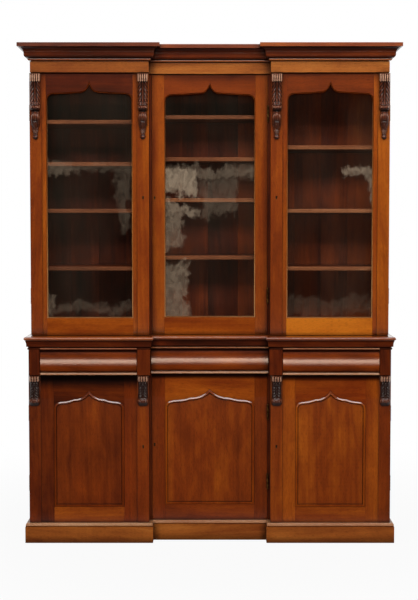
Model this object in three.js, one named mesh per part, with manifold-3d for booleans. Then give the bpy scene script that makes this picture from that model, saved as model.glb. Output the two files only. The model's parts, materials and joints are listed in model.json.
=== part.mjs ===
// A breakfront library bookcase: a glazed upper part with a loose cornice, standing on a
// cupboard base with three cushion-fronted drawers. The two side sections stand forward
// and the middle one is set back between them.
// Units are millimetres. +Z is up, the front faces -Y, and the origin is on the floor,
// below the middle of the whole piece. A depth is counted forwards from the back plane.

import * as THREE from 'three';
import { mergeVertices } from 'three/addons/utils/BufferGeometryUtils.js';
import Module from 'manifold-3d';

const wasm = await Module();
wasm.setup();

// Heights of the storeys, from the floor up
const plinthHeight = 96;
const cupboardHeight = 720;
const drawerSpaceHeight = 124;
const waistHeight = 60;
const upperHeight = 1264;
const friezeHeight = 50;

// Widths and depths of the two carcasses
const baseWidth = 1744;
const upperSideSetback = 6;
const recessWidth = 586;
const recessDepth = 65;
const upperDepth = 345;
const baseDepth = 405;

// Boards
const boardThickness = 22;
const backThickness = 12;
const shelfThickness = 20;
const railThickness = 12;
const slipWidth = 10;
const shelfSetback = 25;

// Doors
const doorThickness = 24;
const pilasterWidth = 57;
const pilasterRelief = 4;
const innerFrameWidth = 26;
const middleStileWidth = 65;
const bottomRailHeight = 87;
const topRailHeight = 51;
const glassThickness = 3;
const rebateWidth = 8;
const rebateDepth = 9;
const panelSetback = 1;
const panelSideMargin = 63;
const middlePanelSideMargin = 64;
const panelFootMargin = 75;
const panelHeadMargin = 76;
const panelBead = { width: 11, rise: 4 };

// Ogee heads of the glass and of the raised panels: widths are shares of half the opening
const glassArch = { cornerShare: 0.167, cornerRise: 35, shoulderRise: 8, pointShare: 0.206, pointRise: 40 };
const panelArch = { cornerShare: 0.27, cornerRise: 38, shoulderRise: 12, pointShare: 0.44, pointRise: 42 };
const pointCurveShare = 1 / 3;

// Clearances
const joint = 0.3;
const doorGap = 0.8;
const edgeGap = 1.5;
const swingGap = 2;
const overrun = 5;

// Projections of the mouldings and blocks
const friezeProjection = 12;
const friezeSideInset = 5;
const drawerProjection = 34;
const waistProjection = 16;
const plinthProjection = 19;
const plinthEdge = 7;

// Cornice members above the frieze: height and projection of each
const quirk = { height: 6, reach: 4 };
const bead = { height: 12, reach: 10 };
const lowerCyma = { height: 14, from: 12, reach: 26 };
const cymaWall = { height: 5 };
const upperCyma = { height: 30, reach: 50 };
const topFillet = { height: 19, reach: 55 };

// Frames that are hollow behind their mouldings
const corniceSeat = 62;
const waistWall = 60;
const plinthWall = 44;
const waistBoard = 22;

// Blocks beside the drawers, and the guides behind them
const blockOuterInset = 5;
const outerBlockWidth = 53;
const blockOverhang = 7.5;
const guideHeight = 30;
const guideStart = 30;

// Drawers
const drawerFrontThickness = 30;
const drawerWall = 12;
const drawerFloor = 6;
const drawerBoxHeight = 98;
const drawerSideClearance = 6;
const drawerBackSpace = 60;
const lip = { height: 8, start: 2 };
const drawerBead = { height: 5, reach: 5 };
const cushionBulge = 14;
const cushionQuirk = 3;

// Hinges
const barrelRadius = 4.5;
const hingeLength = 76;
const hingeInset = 150;
const leafThickness = 2;
const leafWidth = 18;

// Carved corbels
const upperCorbel = { width: 52, height: 310, depth: 36 };
const lowerCorbel = { width: 50, height: 146, depth: 32 };
const upperCorbelDrop = 5;
const lowerCorbelDrop = 2;
const corbelEdge = 3;
const corbelSwellPower = 4;

// Each corbel row: how far down it lies, its depth, its width and the height of its reeds
const upperCorbelShares = [
  [0, 0.94, 1, 0.08], [0.05, 1, 1, 0.08], [0.1, 0.9, 1, 0.08], [0.115, 0.72, 0.94, 0],
  [0.18, 0.6, 0.96, 0.05], [0.28, 0.5, 1, 0.05], [0.38, 0.5, 0.98, 0.05],
  [0.47, 0.58, 0.92, 0.04], [0.51, 0.74, 0.96, 0], [0.54, 0.72, 0.96, 0],
  [0.56, 0.4, 0.82, 0], [0.59, 0.4, 0.74, 0.03], [0.64, 0.62, 0.84, 0.05],
  [0.7, 0.6, 0.8, 0.05], [0.77, 0.46, 0.62, 0.03], [0.83, 0.34, 0.46, 0],
  [0.92, 0.27, 0.38, 0], [0.945, 0.25, 0.36, 0], [0.96, 0.36, 0.5, 0], [0.98, 0.36, 0.5, 0],
  [1, 0.22, 0.26, 0],
];
const lowerCorbelShares = [
  [0, 0.96, 1, 0.1], [0.06, 1, 1, 0.1], [0.13, 0.86, 0.98, 0.08], [0.17, 0.66, 0.92, 0.02],
  [0.3, 0.46, 0.9, 0], [0.45, 0.36, 0.9, 0], [0.6, 0.36, 0.92, 0], [0.72, 0.46, 0.96, 0],
  [0.79, 0.62, 1, 0], [0.85, 0.64, 1, 0], [0.9, 0.5, 0.94, 0], [0.93, 0.3, 0.88, 0],
  [1, 0.2, 0.72, 0],
];

// Shelf heights, as shares of the height of the upper carcass
const leftShelfShares = [0.255, 0.477, 0.656, 0.817];
const middleShelfShares = [0.296, 0.519, 0.677, 0.839];
const rightShelfShares = [0.255, 0.477, 0.72];

// Fineness of the curves
const arcSteps = 6;
const barrelSides = 16;
const cushionSteps = 14;
const corbelColumnShares = [-1, -0.84, -0.6, -0.36, -0.12, 0.12, 0.36, 0.6, 0.84, 1];

// Levels and planes that follow from the sizes above
const railTop = plinthHeight + cupboardHeight;
const waistBottom = railTop + drawerSpaceHeight;
const waistTop = waistBottom + waistHeight;
const upperTop = waistTop + upperHeight;
const upperDoorPlane = upperDepth + doorGap + doorThickness;
const baseDoorPlane = baseDepth + doorGap + doorThickness;
const blockPlane = baseDoorPlane + drawerProjection;
const overallDepth = blockPlane + waistProjection;
const backY = overallDepth / 2;
const recessHalf = recessWidth / 2;
const slipFace = recessHalf - slipWidth;
const blockInner = recessHalf - blockOverhang;
const baseHalf = baseWidth / 2;
const upperHalf = baseHalf - upperSideSetback;
const dividerFace = recessHalf + boardThickness;
const blockInside = baseHalf - blockOuterInset - outerBlockWidth;

// Finishes
const finishes = {
  mahogany: { color: 0x7c3a1a, roughness: 0.35, metalness: 0 },
  carving: { color: 0x3d1d10, roughness: 0.45, metalness: 0 },
  figured: { color: 0x8a4520, roughness: 0.3, metalness: 0 },
  interior: { color: 0x43261a, roughness: 0.7, metalness: 0 },
  drawerWood: { color: 0x9a7448, roughness: 0.75, metalness: 0 },
  brass: { color: 0xa88545, roughness: 0.35, metalness: 1 },
  glass: { color: 0xdfe8e4, roughness: 0.08, metalness: 0, transparent: true, opacity: 0.3 },
};

const bookcase = new THREE.Group();
bookcase.name = 'breakfront_bookcase';

// Adds one named piece with its own material
function addPiece(name, geometry, finish, parent = bookcase) {
  geometry.computeVertexNormals();
  const mesh = new THREE.Mesh(geometry, new THREE.MeshStandardMaterial(finishes[finish]));
  mesh.name = name;
  parent.add(mesh);
  return mesh;
}

// A box between two X values, two depths and two heights
function block(x0, x1, d0, d1, z0, z1) {
  const geometry = new THREE.BoxGeometry(x1 - x0, d1 - d0, z1 - z0);
  return geometry.translate((x0 + x1) / 2, backY - (d0 + d1) / 2, (z0 + z1) / 2);
}

// A plan outline of [x, depth] corners raised between two heights
function raised(corners, z0, z1) {
  const shape = new THREE.Shape(corners.map(([x, d]) => new THREE.Vector2(x, backY - d)));
  const geometry = new THREE.ExtrudeGeometry(shape, { depth: z1 - z0, bevelEnabled: false });
  return geometry.translate(0, 0, z0);
}

// An upright outline of x and z, thickened forwards between two depths
function upright(shape, d0, d1, curveSegments = arcSteps) {
  const settings = { depth: d1 - d0, bevelEnabled: false, curveSegments };
  const geometry = new THREE.ExtrudeGeometry(shape, settings);
  return geometry.rotateX(Math.PI / 2).translate(0, backY - d0, 0);
}

// A round bar along Z at [x, depth]
function bar(x, d, radius, z0, z1) {
  const geometry = new THREE.CylinderGeometry(radius, radius, z1 - z0, barrelSides);
  return geometry.rotateX(Math.PI / 2).translate(x, backY - d, (z0 + z1) / 2);
}

// A closed geometry as a solid that can be joined and cut
function solid(geometry) {
  const bare = geometry.clone();
  bare.deleteAttribute('normal');
  bare.deleteAttribute('uv');
  const merged = mergeVertices(bare);
  const vertProperties = new Float32Array(merged.attributes.position.array);
  const triVerts = new Uint32Array(merged.index.array);
  return new wasm.Manifold(new wasm.Mesh({ numProp: 3, vertProperties, triVerts }));
}

// The joined and cut solid as a geometry again
function geometryOf(manifold) {
  const mesh = manifold.getMesh();
  const geometry = new THREE.BufferGeometry();
  geometry.setAttribute('position', new THREE.BufferAttribute(mesh.vertProperties, mesh.numProp));
  geometry.setIndex(new THREE.BufferAttribute(mesh.triVerts, 1));
  return geometry;
}

// Joins the first list of geometries and cuts the second list out of them
function carve(parts, cuts = []) {
  let body = solid(parts[0]);
  for (const part of parts.slice(1)) {
    body = body.add(solid(part));
  }
  for (const cut of cuts) {
    body = body.subtract(solid(cut));
  }
  return geometryOf(body);
}

// Corners of a breakfront plan, grown outwards; the back grows by its own amount
function breakfront(plan, grow, backGrow = 0) {
  const side = plan.half + grow;
  const inner = plan.recess - grow;
  const front = plan.front + grow;
  const middle = front - recessDepth;
  const back = -backGrow;
  return [
    [-side, back], [-side, front], [-inner, front], [-inner, middle],
    [inner, middle], [inner, front], [side, front], [side, back],
  ];
}

// A solid through a row of closed rings; flatten gives a ring point as a flat vector
function lofted(rings, flatten) {
  const count = rings[0].length;
  const index = [];
  for (let r = 0; r + 1 < rings.length; r += 1) {
    for (let i = 0; i < count; i += 1) {
      const a = r * count + i;
      const b = r * count + (i + 1) % count;
      index.push(a, b, b + count, a, b + count, a + count);
    }
  }
  const flat = rings[0].map(flatten);
  const last = (rings.length - 1) * count;
  for (const [a, b, c] of THREE.ShapeUtils.triangulateShape(flat, [])) {
    index.push(c, b, a, last + a, last + b, last + c);
  }
  const geometry = new THREE.BufferGeometry();
  geometry.setAttribute('position', new THREE.Float32BufferAttribute(rings.flat(2), 3));
  geometry.setIndex(index);
  return geometry;
}

// A moulding profile of [projection, height] carried round a breakfront plan with mitres
function moulded(plan, profile) {
  const rings = profile.map(([grow, z]) => breakfront(plan, grow).map(([x, d]) => [x, backY - d, z]));
  return lofted(rings, ([x, y]) => new THREE.Vector2(x, y));
}

// Points of a quarter ellipse from one corner of its box to the other
function quarter(x0, z0, x1, z1, startsFlat) {
  const points = [];
  for (let i = 1; i <= arcSteps; i += 1) {
    const turn = (i / arcSteps) * (Math.PI / 2);
    const rise = startsFlat ? 1 - Math.cos(turn) : Math.sin(turn);
    const run = startsFlat ? Math.sin(turn) : 1 - Math.cos(turn);
    points.push([x0 + (x1 - x0) * run, z0 + (z1 - z0) * rise]);
  }
  return points;
}

// A half-round nose between two heights, standing out from one projection to another
function nose(from, reach, z0, z1) {
  const points = [];
  for (let i = 0; i <= arcSteps; i += 1) {
    const turn = (i / arcSteps) * Math.PI;
    const rise = (1 - Math.cos(turn)) / 2;
    points.push([from + (reach - from) * Math.sin(turn), z0 + (z1 - z0) * rise]);
  }
  return points;
}

// The loose cornice: frieze, bead, cyma and fillet round a hollow frame
function cornice() {
  const plan = {
    half: upperHalf - friezeSideInset,
    recess: recessHalf,
    front: upperDoorPlane + friezeProjection,
  };
  const foot = upperTop + joint;
  const beadFoot = upperTop + friezeHeight + quirk.height;
  const cymaFoot = beadFoot + bead.height;
  const wallFoot = cymaFoot + lowerCyma.height;
  const wallTop = wallFoot + cymaWall.height;
  const filletFoot = wallTop + upperCyma.height;
  const profile = [
    [0, foot],
    [0, upperTop + friezeHeight],
    [quirk.reach, upperTop + friezeHeight],
    ...nose(quirk.reach, bead.reach, beadFoot, cymaFoot),
    [lowerCyma.from, cymaFoot],
    ...quarter(lowerCyma.from, cymaFoot, lowerCyma.reach, wallFoot, true),
    ...quarter(lowerCyma.reach, wallTop, upperCyma.reach, filletFoot, false),
    [topFillet.reach, filletFoot],
    [topFillet.reach, filletFoot + topFillet.height],
  ];
  const head = filletFoot + topFillet.height;
  const seat = breakfront(plan, -corniceSeat, -corniceSeat);
  const well = breakfront(plan, -boardThickness, -boardThickness);
  const cores = [
    raised(seat, upperTop - overrun, head + overrun),
    raised(well, foot + boardThickness, head + overrun),
  ];
  addPiece('cornice', carve([moulded(plan, profile)], cores), 'mahogany');
}

// The base top: a board with a moulded nose over a hollow moulded frame
function baseTop() {
  const plan = { half: baseHalf, recess: blockInner, front: blockPlane };
  const noseFoot = waistTop - waistProjection;
  const coveTop = noseFoot - cushionQuirk;
  const coveFoot = coveTop - waistBoard;
  const profile = [
    [0, waistBottom],
    [0, coveFoot - overrun],
    [overrun, coveFoot - overrun],
    [overrun, coveFoot],
    ...quarter(overrun, coveFoot, waistProjection - overrun, coveTop, false),
    [waistProjection / 2, coveTop],
    ...nose(waistProjection / 2, waistProjection, noseFoot, waistTop),
  ];
  const hollow = breakfront(plan, -waistWall, -waistWall);
  const core = raised(hollow, waistBottom - overrun, waistTop - waistBoard);
  addPiece('base_top', carve([moulded(plan, profile)], [core]), 'mahogany');
}

// The plinth: a hollow frame with an ogee top edge
function plinth() {
  const plan = { half: baseHalf, recess: recessHalf, front: baseDoorPlane };
  const top = plinthHeight - joint;
  const edgeFoot = plinthHeight - railThickness;
  const profile = [
    [plinthProjection, 0],
    [plinthProjection, edgeFoot],
    ...quarter(plinthProjection, edgeFoot, plinthProjection - plinthEdge, top, false),
  ];
  const hollow = breakfront(plan, plinthProjection - plinthWall, -plinthWall);
  const core = raised(hollow, -overrun, plinthHeight + overrun);
  addPiece('plinth', carve([moulded(plan, profile)], [core]), 'mahogany');
}

// The heights at which a door's two hinges start
function hingeFeet(doorBottom, doorTop) {
  return { lower: doorBottom + hingeInset, upper: doorTop - hingeInset - hingeLength };
}

// The vertical span of a storey's doors
function doorSpan(storey) {
  if (storey === 'upper') {
    return { bottom: waistTop + swingGap, top: upperTop - swingGap };
  }
  return { bottom: plinthHeight + swingGap, top: railTop - swingGap };
}

// Half width and depth of a storey's carcass
function carcass(storey) {
  return storey === 'upper'
    ? { half: upperHalf, depth: upperDepth }
    : { half: baseHalf, depth: baseDepth };
}

// Pivot of a door as [x, depth]: at the outer edge of a side door, before the middle one
function pivot(storey, place) {
  const { half, depth } = carcass(storey);
  if (place === 'middle') {
    const plane = depth + doorGap + doorThickness - recessDepth;
    return [slipFace - edgeGap / 2, plane + barrelRadius + joint];
  }
  return [(place === 'left' ? -1 : 1) * half, depth + doorGap / 2];
}

// The fixed leaf of a hinge, let into the carcass; grow makes its housing
function leaf(storey, place, z, grow) {
  const [x, d] = pivot(storey, place);
  const z0 = z - grow;
  const z1 = z + hingeLength + grow;
  if (place === 'middle') {
    const near = slipFace - edgeGap + 2 * joint;
    return block(near - grow, near + leafThickness + grow, d - barrelRadius - leafWidth - grow, d, z0, z1);
  }
  const inward = place === 'left' ? leafWidth : -leafWidth;
  const wide = place === 'left' ? grow : -grow;
  const x0 = Math.min(x - wide, x + inward + wide);
  const x1 = Math.max(x - wide, x + inward + wide);
  return block(x0, x1, d - leafThickness - grow, d + grow / 2, z0, z1);
}

// Cylinders that clear the barrels of one door, for the door and the carcass edge
function barrelRooms(storey, place) {
  const [x, d] = pivot(storey, place);
  const span = doorSpan(storey);
  const feet = Object.values(hingeFeet(span.bottom, span.top));
  const radius = (barrelRadius + joint) / Math.cos(Math.PI / barrelSides);
  return feet.map((z) => bar(x, d, radius, z - joint, z + hingeLength + joint));
}

// Housings for the leaves and barrels of one door
function hingeHousings(storey, place) {
  const span = doorSpan(storey);
  const feet = Object.values(hingeFeet(span.bottom, span.top));
  const leaves = feet.map((z) => leaf(storey, place, z, joint));
  return [...leaves, ...barrelRooms(storey, place)];
}

// The brass butt hinges: barrel and fixed leaf, two for each door
function hinges(storey, place) {
  const [x, d] = pivot(storey, place);
  const span = doorSpan(storey);
  for (const [level, z] of Object.entries(hingeFeet(span.bottom, span.top))) {
    const barrel = bar(x, d, barrelRadius, z, z + hingeLength);
    const geometry = carve([barrel, leaf(storey, place, z, 0)]);
    addPiece(`${storey}_${place}_hinge_${level}`, geometry, 'brass');
  }
}

// Plan of one divider with the slip that the middle door closes against
function divider(sign, depth) {
  const middlePlane = depth + doorGap + doorThickness - recessDepth;
  const corners = [
    [-dividerFace, backThickness + joint], [-dividerFace, depth], [-recessHalf, depth],
    [-recessHalf, middlePlane], [-slipFace, middlePlane], [-slipFace, backThickness + joint],
  ];
  return corners.map(([x, d]) => [-sign * x, d]);
}

// Plan of a board housed between the ends, with its front edge set back in the middle
function betweenEnds(half, depth) {
  const plan = { half: half - boardThickness - joint, recess: recessHalf, front: depth };
  return breakfront(plan, 0, -backThickness - joint);
}

// The upper carcass: ends, back, and the inner frame of dividers with top and bottom boards
function upperCarcass() {
  const foot = waistTop + joint;
  const inside = upperHalf - boardThickness;
  for (const [place, sign] of [['left', -1], ['right', 1]]) {
    const x0 = Math.min(sign * inside, sign * upperHalf);
    const board = block(x0, x0 + boardThickness, 0, upperDepth, foot, upperTop);
    addPiece(`upper_end_${place}`, carve([board], hingeHousings('upper', place)), 'mahogany');
  }
  const boards = [
    raised(betweenEnds(upperHalf, upperDepth), foot, foot + boardThickness),
    raised(betweenEnds(upperHalf, upperDepth), upperTop - boardThickness, upperTop),
    raised(divider(-1, upperDepth), foot, upperTop),
    raised(divider(1, upperDepth), foot, upperTop),
  ];
  addPiece('upper_inner_frame', carve(boards, hingeHousings('upper', 'middle')), 'interior');
  const backBoard = block(-inside + joint, inside - joint, 0, backThickness, foot, upperTop);
  addPiece('upper_back', backBoard, 'interior');
}

// The adjustable shelves of one bay, at their shares of the carcass height
function shelves(place, x0, x1, front, shares) {
  shares.forEach((share, i) => {
    const z = waistTop + share * upperHeight;
    const bottom = z - shelfThickness / 2;
    const top = bottom + shelfThickness;
    const shelf = block(x0 + joint, x1 - joint, backThickness + joint, front, bottom, top);
    addPiece(`shelf_${place}_${i + 1}`, shelf, 'interior');
  });
}

// The base carcass: ends with their drawer blocks, back, and the inner frame
function baseCarcass() {
  const foot = plinthHeight;
  const head = waistBottom - joint;
  const inside = baseHalf - boardThickness;
  const boxFoot = railTop + joint;
  const blockOutside = baseHalf - blockOuterInset;
  for (const [place, sign] of [['left', -1], ['right', 1]]) {
    const along = (a, b) => [Math.min(sign * a, sign * b), Math.max(sign * a, sign * b)];
    const parts = [
      block(...along(inside, baseHalf), 0, baseDepth, foot, head),
      block(...along(blockInside, blockOutside), baseDepth - overrun, blockPlane, boxFoot, head),
      block(...along(blockInside, inside + overrun), guideStart, baseDepth, boxFoot, boxFoot + guideHeight),
    ];
    addPiece(`base_end_${place}`, carve(parts, hingeHousings('base', place)), 'mahogany');
  }
  const between = betweenEnds(baseHalf, baseDepth);
  const boards = [
    raised(between, foot, foot + boardThickness),
    raised(between, railTop - railThickness, railTop),
  ];
  const blockEdge = drawerSpan('right').x0 - swingGap;
  const guideTop = boxFoot + guideHeight;
  for (const sign of [-1, 1]) {
    const along = (a, b) => [Math.min(sign * a, sign * b), Math.max(sign * a, sign * b)];
    boards.push(raised(divider(sign, baseDepth), foot, head));
    boards.push(block(...along(blockInner, blockEdge), baseDepth - overrun, blockPlane, boxFoot, head));
    boards.push(block(...along(recessHalf, blockEdge), guideStart, baseDepth, railTop - overrun, guideTop));
  }
  addPiece('base_inner_frame', carve(boards, hingeHousings('base', 'middle')), 'interior');
  const backBoard = block(-inside + joint, inside - joint, 0, backThickness, foot, head);
  addPiece('base_back', backBoard, 'interior');
}

// Edges of a drawer front, between its two blocks
function drawerSpan(place) {
  if (place === 'middle') {
    return { x0: -blockInner + swingGap, x1: blockInner - swingGap };
  }
  const outer = blockInside - swingGap;
  const inner = recessHalf + pilasterWidth;
  return place === 'left' ? { x0: -outer, x1: -inner } : { x0: inner, x1: outer };
}

// The cushion profile of a drawer front as [depth, height] points
function cushionProfile(face) {
  const foot = railTop + edgeGap;
  const head = waistBottom - edgeGap;
  const back = face - drawerFrontThickness;
  const lipFoot = foot + lip.start;
  const lipTop = lipFoot + lip.height;
  const bulgeFoot = lipTop + cushionQuirk;
  const beadFoot = head - drawerBead.height;
  const bulgeTop = beadFoot - cushionQuirk;
  const valley = face - cushionBulge;
  const points = [[back, foot], [valley, foot]];
  for (const [reach, z] of nose(0, cushionBulge, lipFoot, lipTop)) {
    points.push([valley + reach, z]);
  }
  for (let i = 0; i <= cushionSteps; i += 1) {
    const turn = (i / cushionSteps) * Math.PI;
    const rise = (1 - Math.cos(turn)) / 2;
    points.push([valley + cushionBulge * Math.sin(turn), bulgeFoot + (bulgeTop - bulgeFoot) * rise]);
  }
  for (const [reach, z] of nose(0, drawerBead.reach, beadFoot, head)) {
    points.push([valley + reach, z]);
  }
  points.push([back, head]);
  return points;
}

// A drawer: its cushion front and its open box
function drawer(place) {
  const { x0, x1 } = drawerSpan(place);
  const face = place === 'middle' ? blockPlane - recessDepth : blockPlane;
  const outline = new THREE.Shape(cushionProfile(face).map(([d, z]) => new THREE.Vector2(d, z)));
  const front = new THREE.ExtrudeGeometry(outline, { depth: x1 - x0, bevelEnabled: false });
  const turn = new THREE.Matrix4().makeBasis(
    new THREE.Vector3(0, -1, 0), new THREE.Vector3(0, 0, 1), new THREE.Vector3(-1, 0, 0),
  );
  front.applyMatrix4(turn).translate(x1, backY, 0);
  addPiece(`drawer_front_${place}`, front, 'figured');
  const sideRoom = place === 'middle' ? drawerSideClearance : drawerSideClearance / 2;
  const b0 = x0 + sideRoom;
  const b1 = x1 - sideRoom;
  const d1 = face - drawerFrontThickness - joint;
  const foot = railTop + joint;
  const head = foot + drawerBoxHeight;
  const shell = block(b0, b1, drawerBackSpace, d1, foot, head);
  const room = block(
    b0 + drawerWall, b1 - drawerWall, drawerBackSpace + drawerWall, d1 - drawerWall,
    foot + drawerFloor, head + overrun,
  );
  addPiece(`drawer_box_${place}`, carve([shell], [room]), 'drawerWood');
}

// An opening or panel outline with an ogee head: rounded shoulders and a sharp middle point
function ogeeOutline(middle, half, bottom, peak, arch, inset = 0) {
  const a = half - inset;
  const head = peak - inset;
  const shoulder = head - arch.pointRise;
  const cornerTop = shoulder - arch.shoulderRise;
  const spring = cornerTop - arch.cornerRise;
  const corner = half * arch.cornerShare;
  const point = half * arch.pointShare;
  const shape = new THREE.Shape();
  shape.moveTo(middle - a, bottom + inset);
  shape.lineTo(middle + a, bottom + inset);
  shape.lineTo(middle + a, spring);
  shape.quadraticCurveTo(middle + a, cornerTop, middle + a - corner, cornerTop);
  shape.lineTo(middle + point, shoulder);
  shape.quadraticCurveTo(middle + point * pointCurveShare, shoulder, middle, head);
  shape.quadraticCurveTo(middle - point * pointCurveShare, shoulder, middle - point, shoulder);
  shape.lineTo(middle - a + corner, cornerTop);
  shape.quadraticCurveTo(middle - a, cornerTop, middle - a, spring);
  shape.closePath();
  return shape;
}

// The points of an outline, each once
function outlinePoints(outline) {
  const points = outline.getPoints(arcSteps);
  const same = points[0].distanceTo(points[points.length - 1]) < joint;
  return same ? points.slice(0, -1) : points;
}

// The span, planes and sight opening of one door
function doorPlan(storey, place) {
  const { half, depth } = carcass(storey);
  const { bottom, top } = doorSpan(storey);
  const middle = place === 'middle';
  const sign = place === 'left' ? -1 : 1;
  const back = depth + doorGap - (middle ? recessDepth : 0);
  const x0 = middle ? -slipFace + edgeGap : Math.min(sign * half, sign * recessHalf);
  const x1 = middle ? slipFace - edgeGap : Math.max(sign * half, sign * recessHalf);
  const glassMargin = middle ? middleStileWidth : pilasterWidth + innerFrameWidth;
  const panelMargin = middle ? middlePanelSideMargin : pilasterWidth + panelSideMargin;
  const margin = storey === 'upper' ? glassMargin : panelMargin;
  return {
    x0, x1, bottom, top, back,
    front: back + doorThickness,
    field: back + doorThickness - (middle ? 0 : pilasterRelief),
    centre: (x0 + x1) / 2,
    opening: (x1 - x0) / 2 - margin,
    sill: bottom + (storey === 'upper' ? bottomRailHeight : panelFootMargin),
    peak: top - (storey === 'upper' ? topRailHeight : panelHeadMargin),
  };
}

// A door frame: its slab, the sunk field between the pilasters, the opening and hinge room
function doorFrame(storey, place) {
  const plan = doorPlan(storey, place);
  const arch = storey === 'upper' ? glassArch : panelArch;
  const slab = block(plan.x0, plan.x1, plan.back, plan.front, plan.bottom, plan.top);
  const outline = ogeeOutline(plan.centre, plan.opening, plan.sill, plan.peak, arch);
  const cuts = [upright(outline, plan.back - overrun, plan.front + overrun)];
  if (place !== 'middle') {
    const x0 = plan.x0 + pilasterWidth;
    const x1 = plan.x1 - pilasterWidth;
    const low = plan.bottom - overrun;
    cuts.push(block(x0, x1, plan.field, plan.front + overrun, low, plan.top + overrun));
  }
  if (storey === 'upper') {
    const reach = plan.opening + rebateWidth;
    cuts.push(block(
      plan.centre - reach, plan.centre + reach, plan.back - overrun, plan.back + rebateDepth,
      plan.sill - rebateWidth, plan.peak + rebateWidth,
    ));
  }
  cuts.push(...barrelRooms(storey, place));
  addPiece(`${storey}_door_${place}`, carve([slab], cuts), 'mahogany');
}

// The glass pane in the rebate of an upper door
function glassPane(place) {
  const plan = doorPlan('upper', place);
  const reach = plan.opening + rebateWidth - joint;
  const front = plan.back + rebateDepth - joint;
  const pane = block(
    plan.centre - reach, plan.centre + reach, front - glassThickness, front,
    plan.sill - rebateWidth + joint, plan.peak + rebateWidth - joint,
  );
  addPiece(`glass_${place}`, pane, 'glass');
}

// The raised panel of a cupboard door: a rounded bead round a slightly lower field
function raisedPanel(place) {
  const plan = doorPlan('base', place);
  const inset = joint + panelBead.width;
  const profile = [
    [joint, plan.back + panelSetback],
    [joint, plan.field],
    ...nose(0, panelBead.rise, joint, inset).map(([rise, across]) => [across, plan.field + joint + rise]),
    [inset, plan.field - panelSetback],
  ];
  const rings = profile.map(([within, d]) => {
    const outline = ogeeOutline(plan.centre, plan.opening, plan.sill, plan.peak, panelArch, within);
    return outlinePoints(outline).map(({ x, y }) => [x, backY - d, y]);
  });
  addPiece(`raised_panel_${place}`, lofted(rings, ([x, , z]) => new THREE.Vector2(x, z)), 'figured');
}

// The carved face of a corbel as rows of [x, y, z] points, swelling forwards from y = 0
function corbelFace(size, rowShares) {
  return rowShares.flatMap(([down, depth, wide, reed]) => corbelColumnShares.map((across, i) => {
    const swell = 1 - across ** corbelSwellPower;
    const ridge = i % 2 === 0 ? reed : 0;
    const proud = (depth - ridge) * size.depth - corbelEdge;
    return [across * wide * size.width / 2, -corbelEdge - proud * swell, -down * size.height];
  }));
}

// The numbers of the points round the rim of a grid
function rimOf(rows, columns) {
  const rim = [];
  for (let r = 0; r < rows; r += 1) {
    rim.push(r * columns);
  }
  for (let i = 1; i < columns; i += 1) {
    rim.push((rows - 1) * columns + i);
  }
  for (let r = rows - 2; r >= 0; r -= 1) {
    rim.push(r * columns + columns - 1);
  }
  for (let i = columns - 2; i > 0; i -= 1) {
    rim.push(i);
  }
  return rim;
}

// A carved corbel: its face, with the rim carried straight back to a flat back
function corbelGeometry(size, rowShares) {
  const columns = corbelColumnShares.length;
  const points = corbelFace(size, rowShares);
  const index = [];
  for (let r = 0; r + 1 < rowShares.length; r += 1) {
    for (let i = 0; i + 1 < columns; i += 1) {
      const a = r * columns + i;
      index.push(a, a + columns, a + columns + 1, a, a + columns + 1, a + 1);
    }
  }
  const rim = rimOf(rowShares.length, columns);
  const first = points.length;
  const backRim = rim.map((p) => [points[p][0], 0, points[p][2]]);
  rim.forEach((p, i) => {
    const next = (i + 1) % rim.length;
    index.push(p, first + i, first + next, p, first + next, rim[next]);
  });
  const flat = backRim.map(([x, , z]) => new THREE.Vector2(x, z));
  for (const [a, b, c] of THREE.ShapeUtils.triangulateShape(flat, [])) {
    index.push(first + c, first + b, first + a);
  }
  const geometry = new THREE.BufferGeometry();
  const positions = [...points, ...backRim].flat();
  geometry.setAttribute('position', new THREE.Float32BufferAttribute(positions, 3));
  geometry.setIndex(index);
  return geometry;
}

// The two corbels of a side door, one on the head of each pilaster
function corbels(storey, place) {
  const plan = doorPlan(storey, place);
  const size = storey === 'upper' ? upperCorbel : lowerCorbel;
  const rowShares = storey === 'upper' ? upperCorbelShares : lowerCorbelShares;
  const drop = storey === 'upper' ? upperCorbelDrop : lowerCorbelDrop;
  const centres = [plan.x0 + pilasterWidth / 2, plan.x1 - pilasterWidth / 2];
  const ends = place === 'left' ? ['outer', 'inner'] : ['inner', 'outer'];
  centres.forEach((x, i) => {
    const mesh = addPiece(`${storey}_corbel_${place}_${ends[i]}`, corbelGeometry(size, rowShares), 'carving');
    mesh.position.set(x, backY - plan.front - joint, plan.top - drop);
  });
}

cornice();
upperCarcass();
const bayEdge = upperHalf - boardThickness;
shelves('left', -bayEdge, -dividerFace, upperDepth - shelfSetback, leftShelfShares);
shelves('middle', -slipFace, slipFace, upperDepth - recessDepth - shelfSetback, middleShelfShares);
shelves('right', dividerFace, bayEdge, upperDepth - shelfSetback, rightShelfShares);
baseTop();
baseCarcass();
plinth();
for (const place of ['left', 'middle', 'right']) {
  doorFrame('upper', place);
  glassPane(place);
  hinges('upper', place);
  drawer(place);
  doorFrame('base', place);
  raisedPanel(place);
  hinges('base', place);
}
for (const place of ['left', 'right']) {
  corbels('upper', place);
  corbels('base', place);
}

export default bookcase;
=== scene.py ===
# %% [markdown]
# # A breakfront bookcase in polished mahogany
#
# The construction model gives the size and place of every piece: carcasses, doors, drawers,
# shelves, hinges. It stays as it is. This lesson dresses it, which means soft edges, mouldings,
# carving, figured wood, brass and old glass. Each is a surface or a pattern worked out by formula.
# All lengths are metres. +Z is up and the front of the bookcase faces -Y.

# %% Load the construction model
import json
import math

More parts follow.
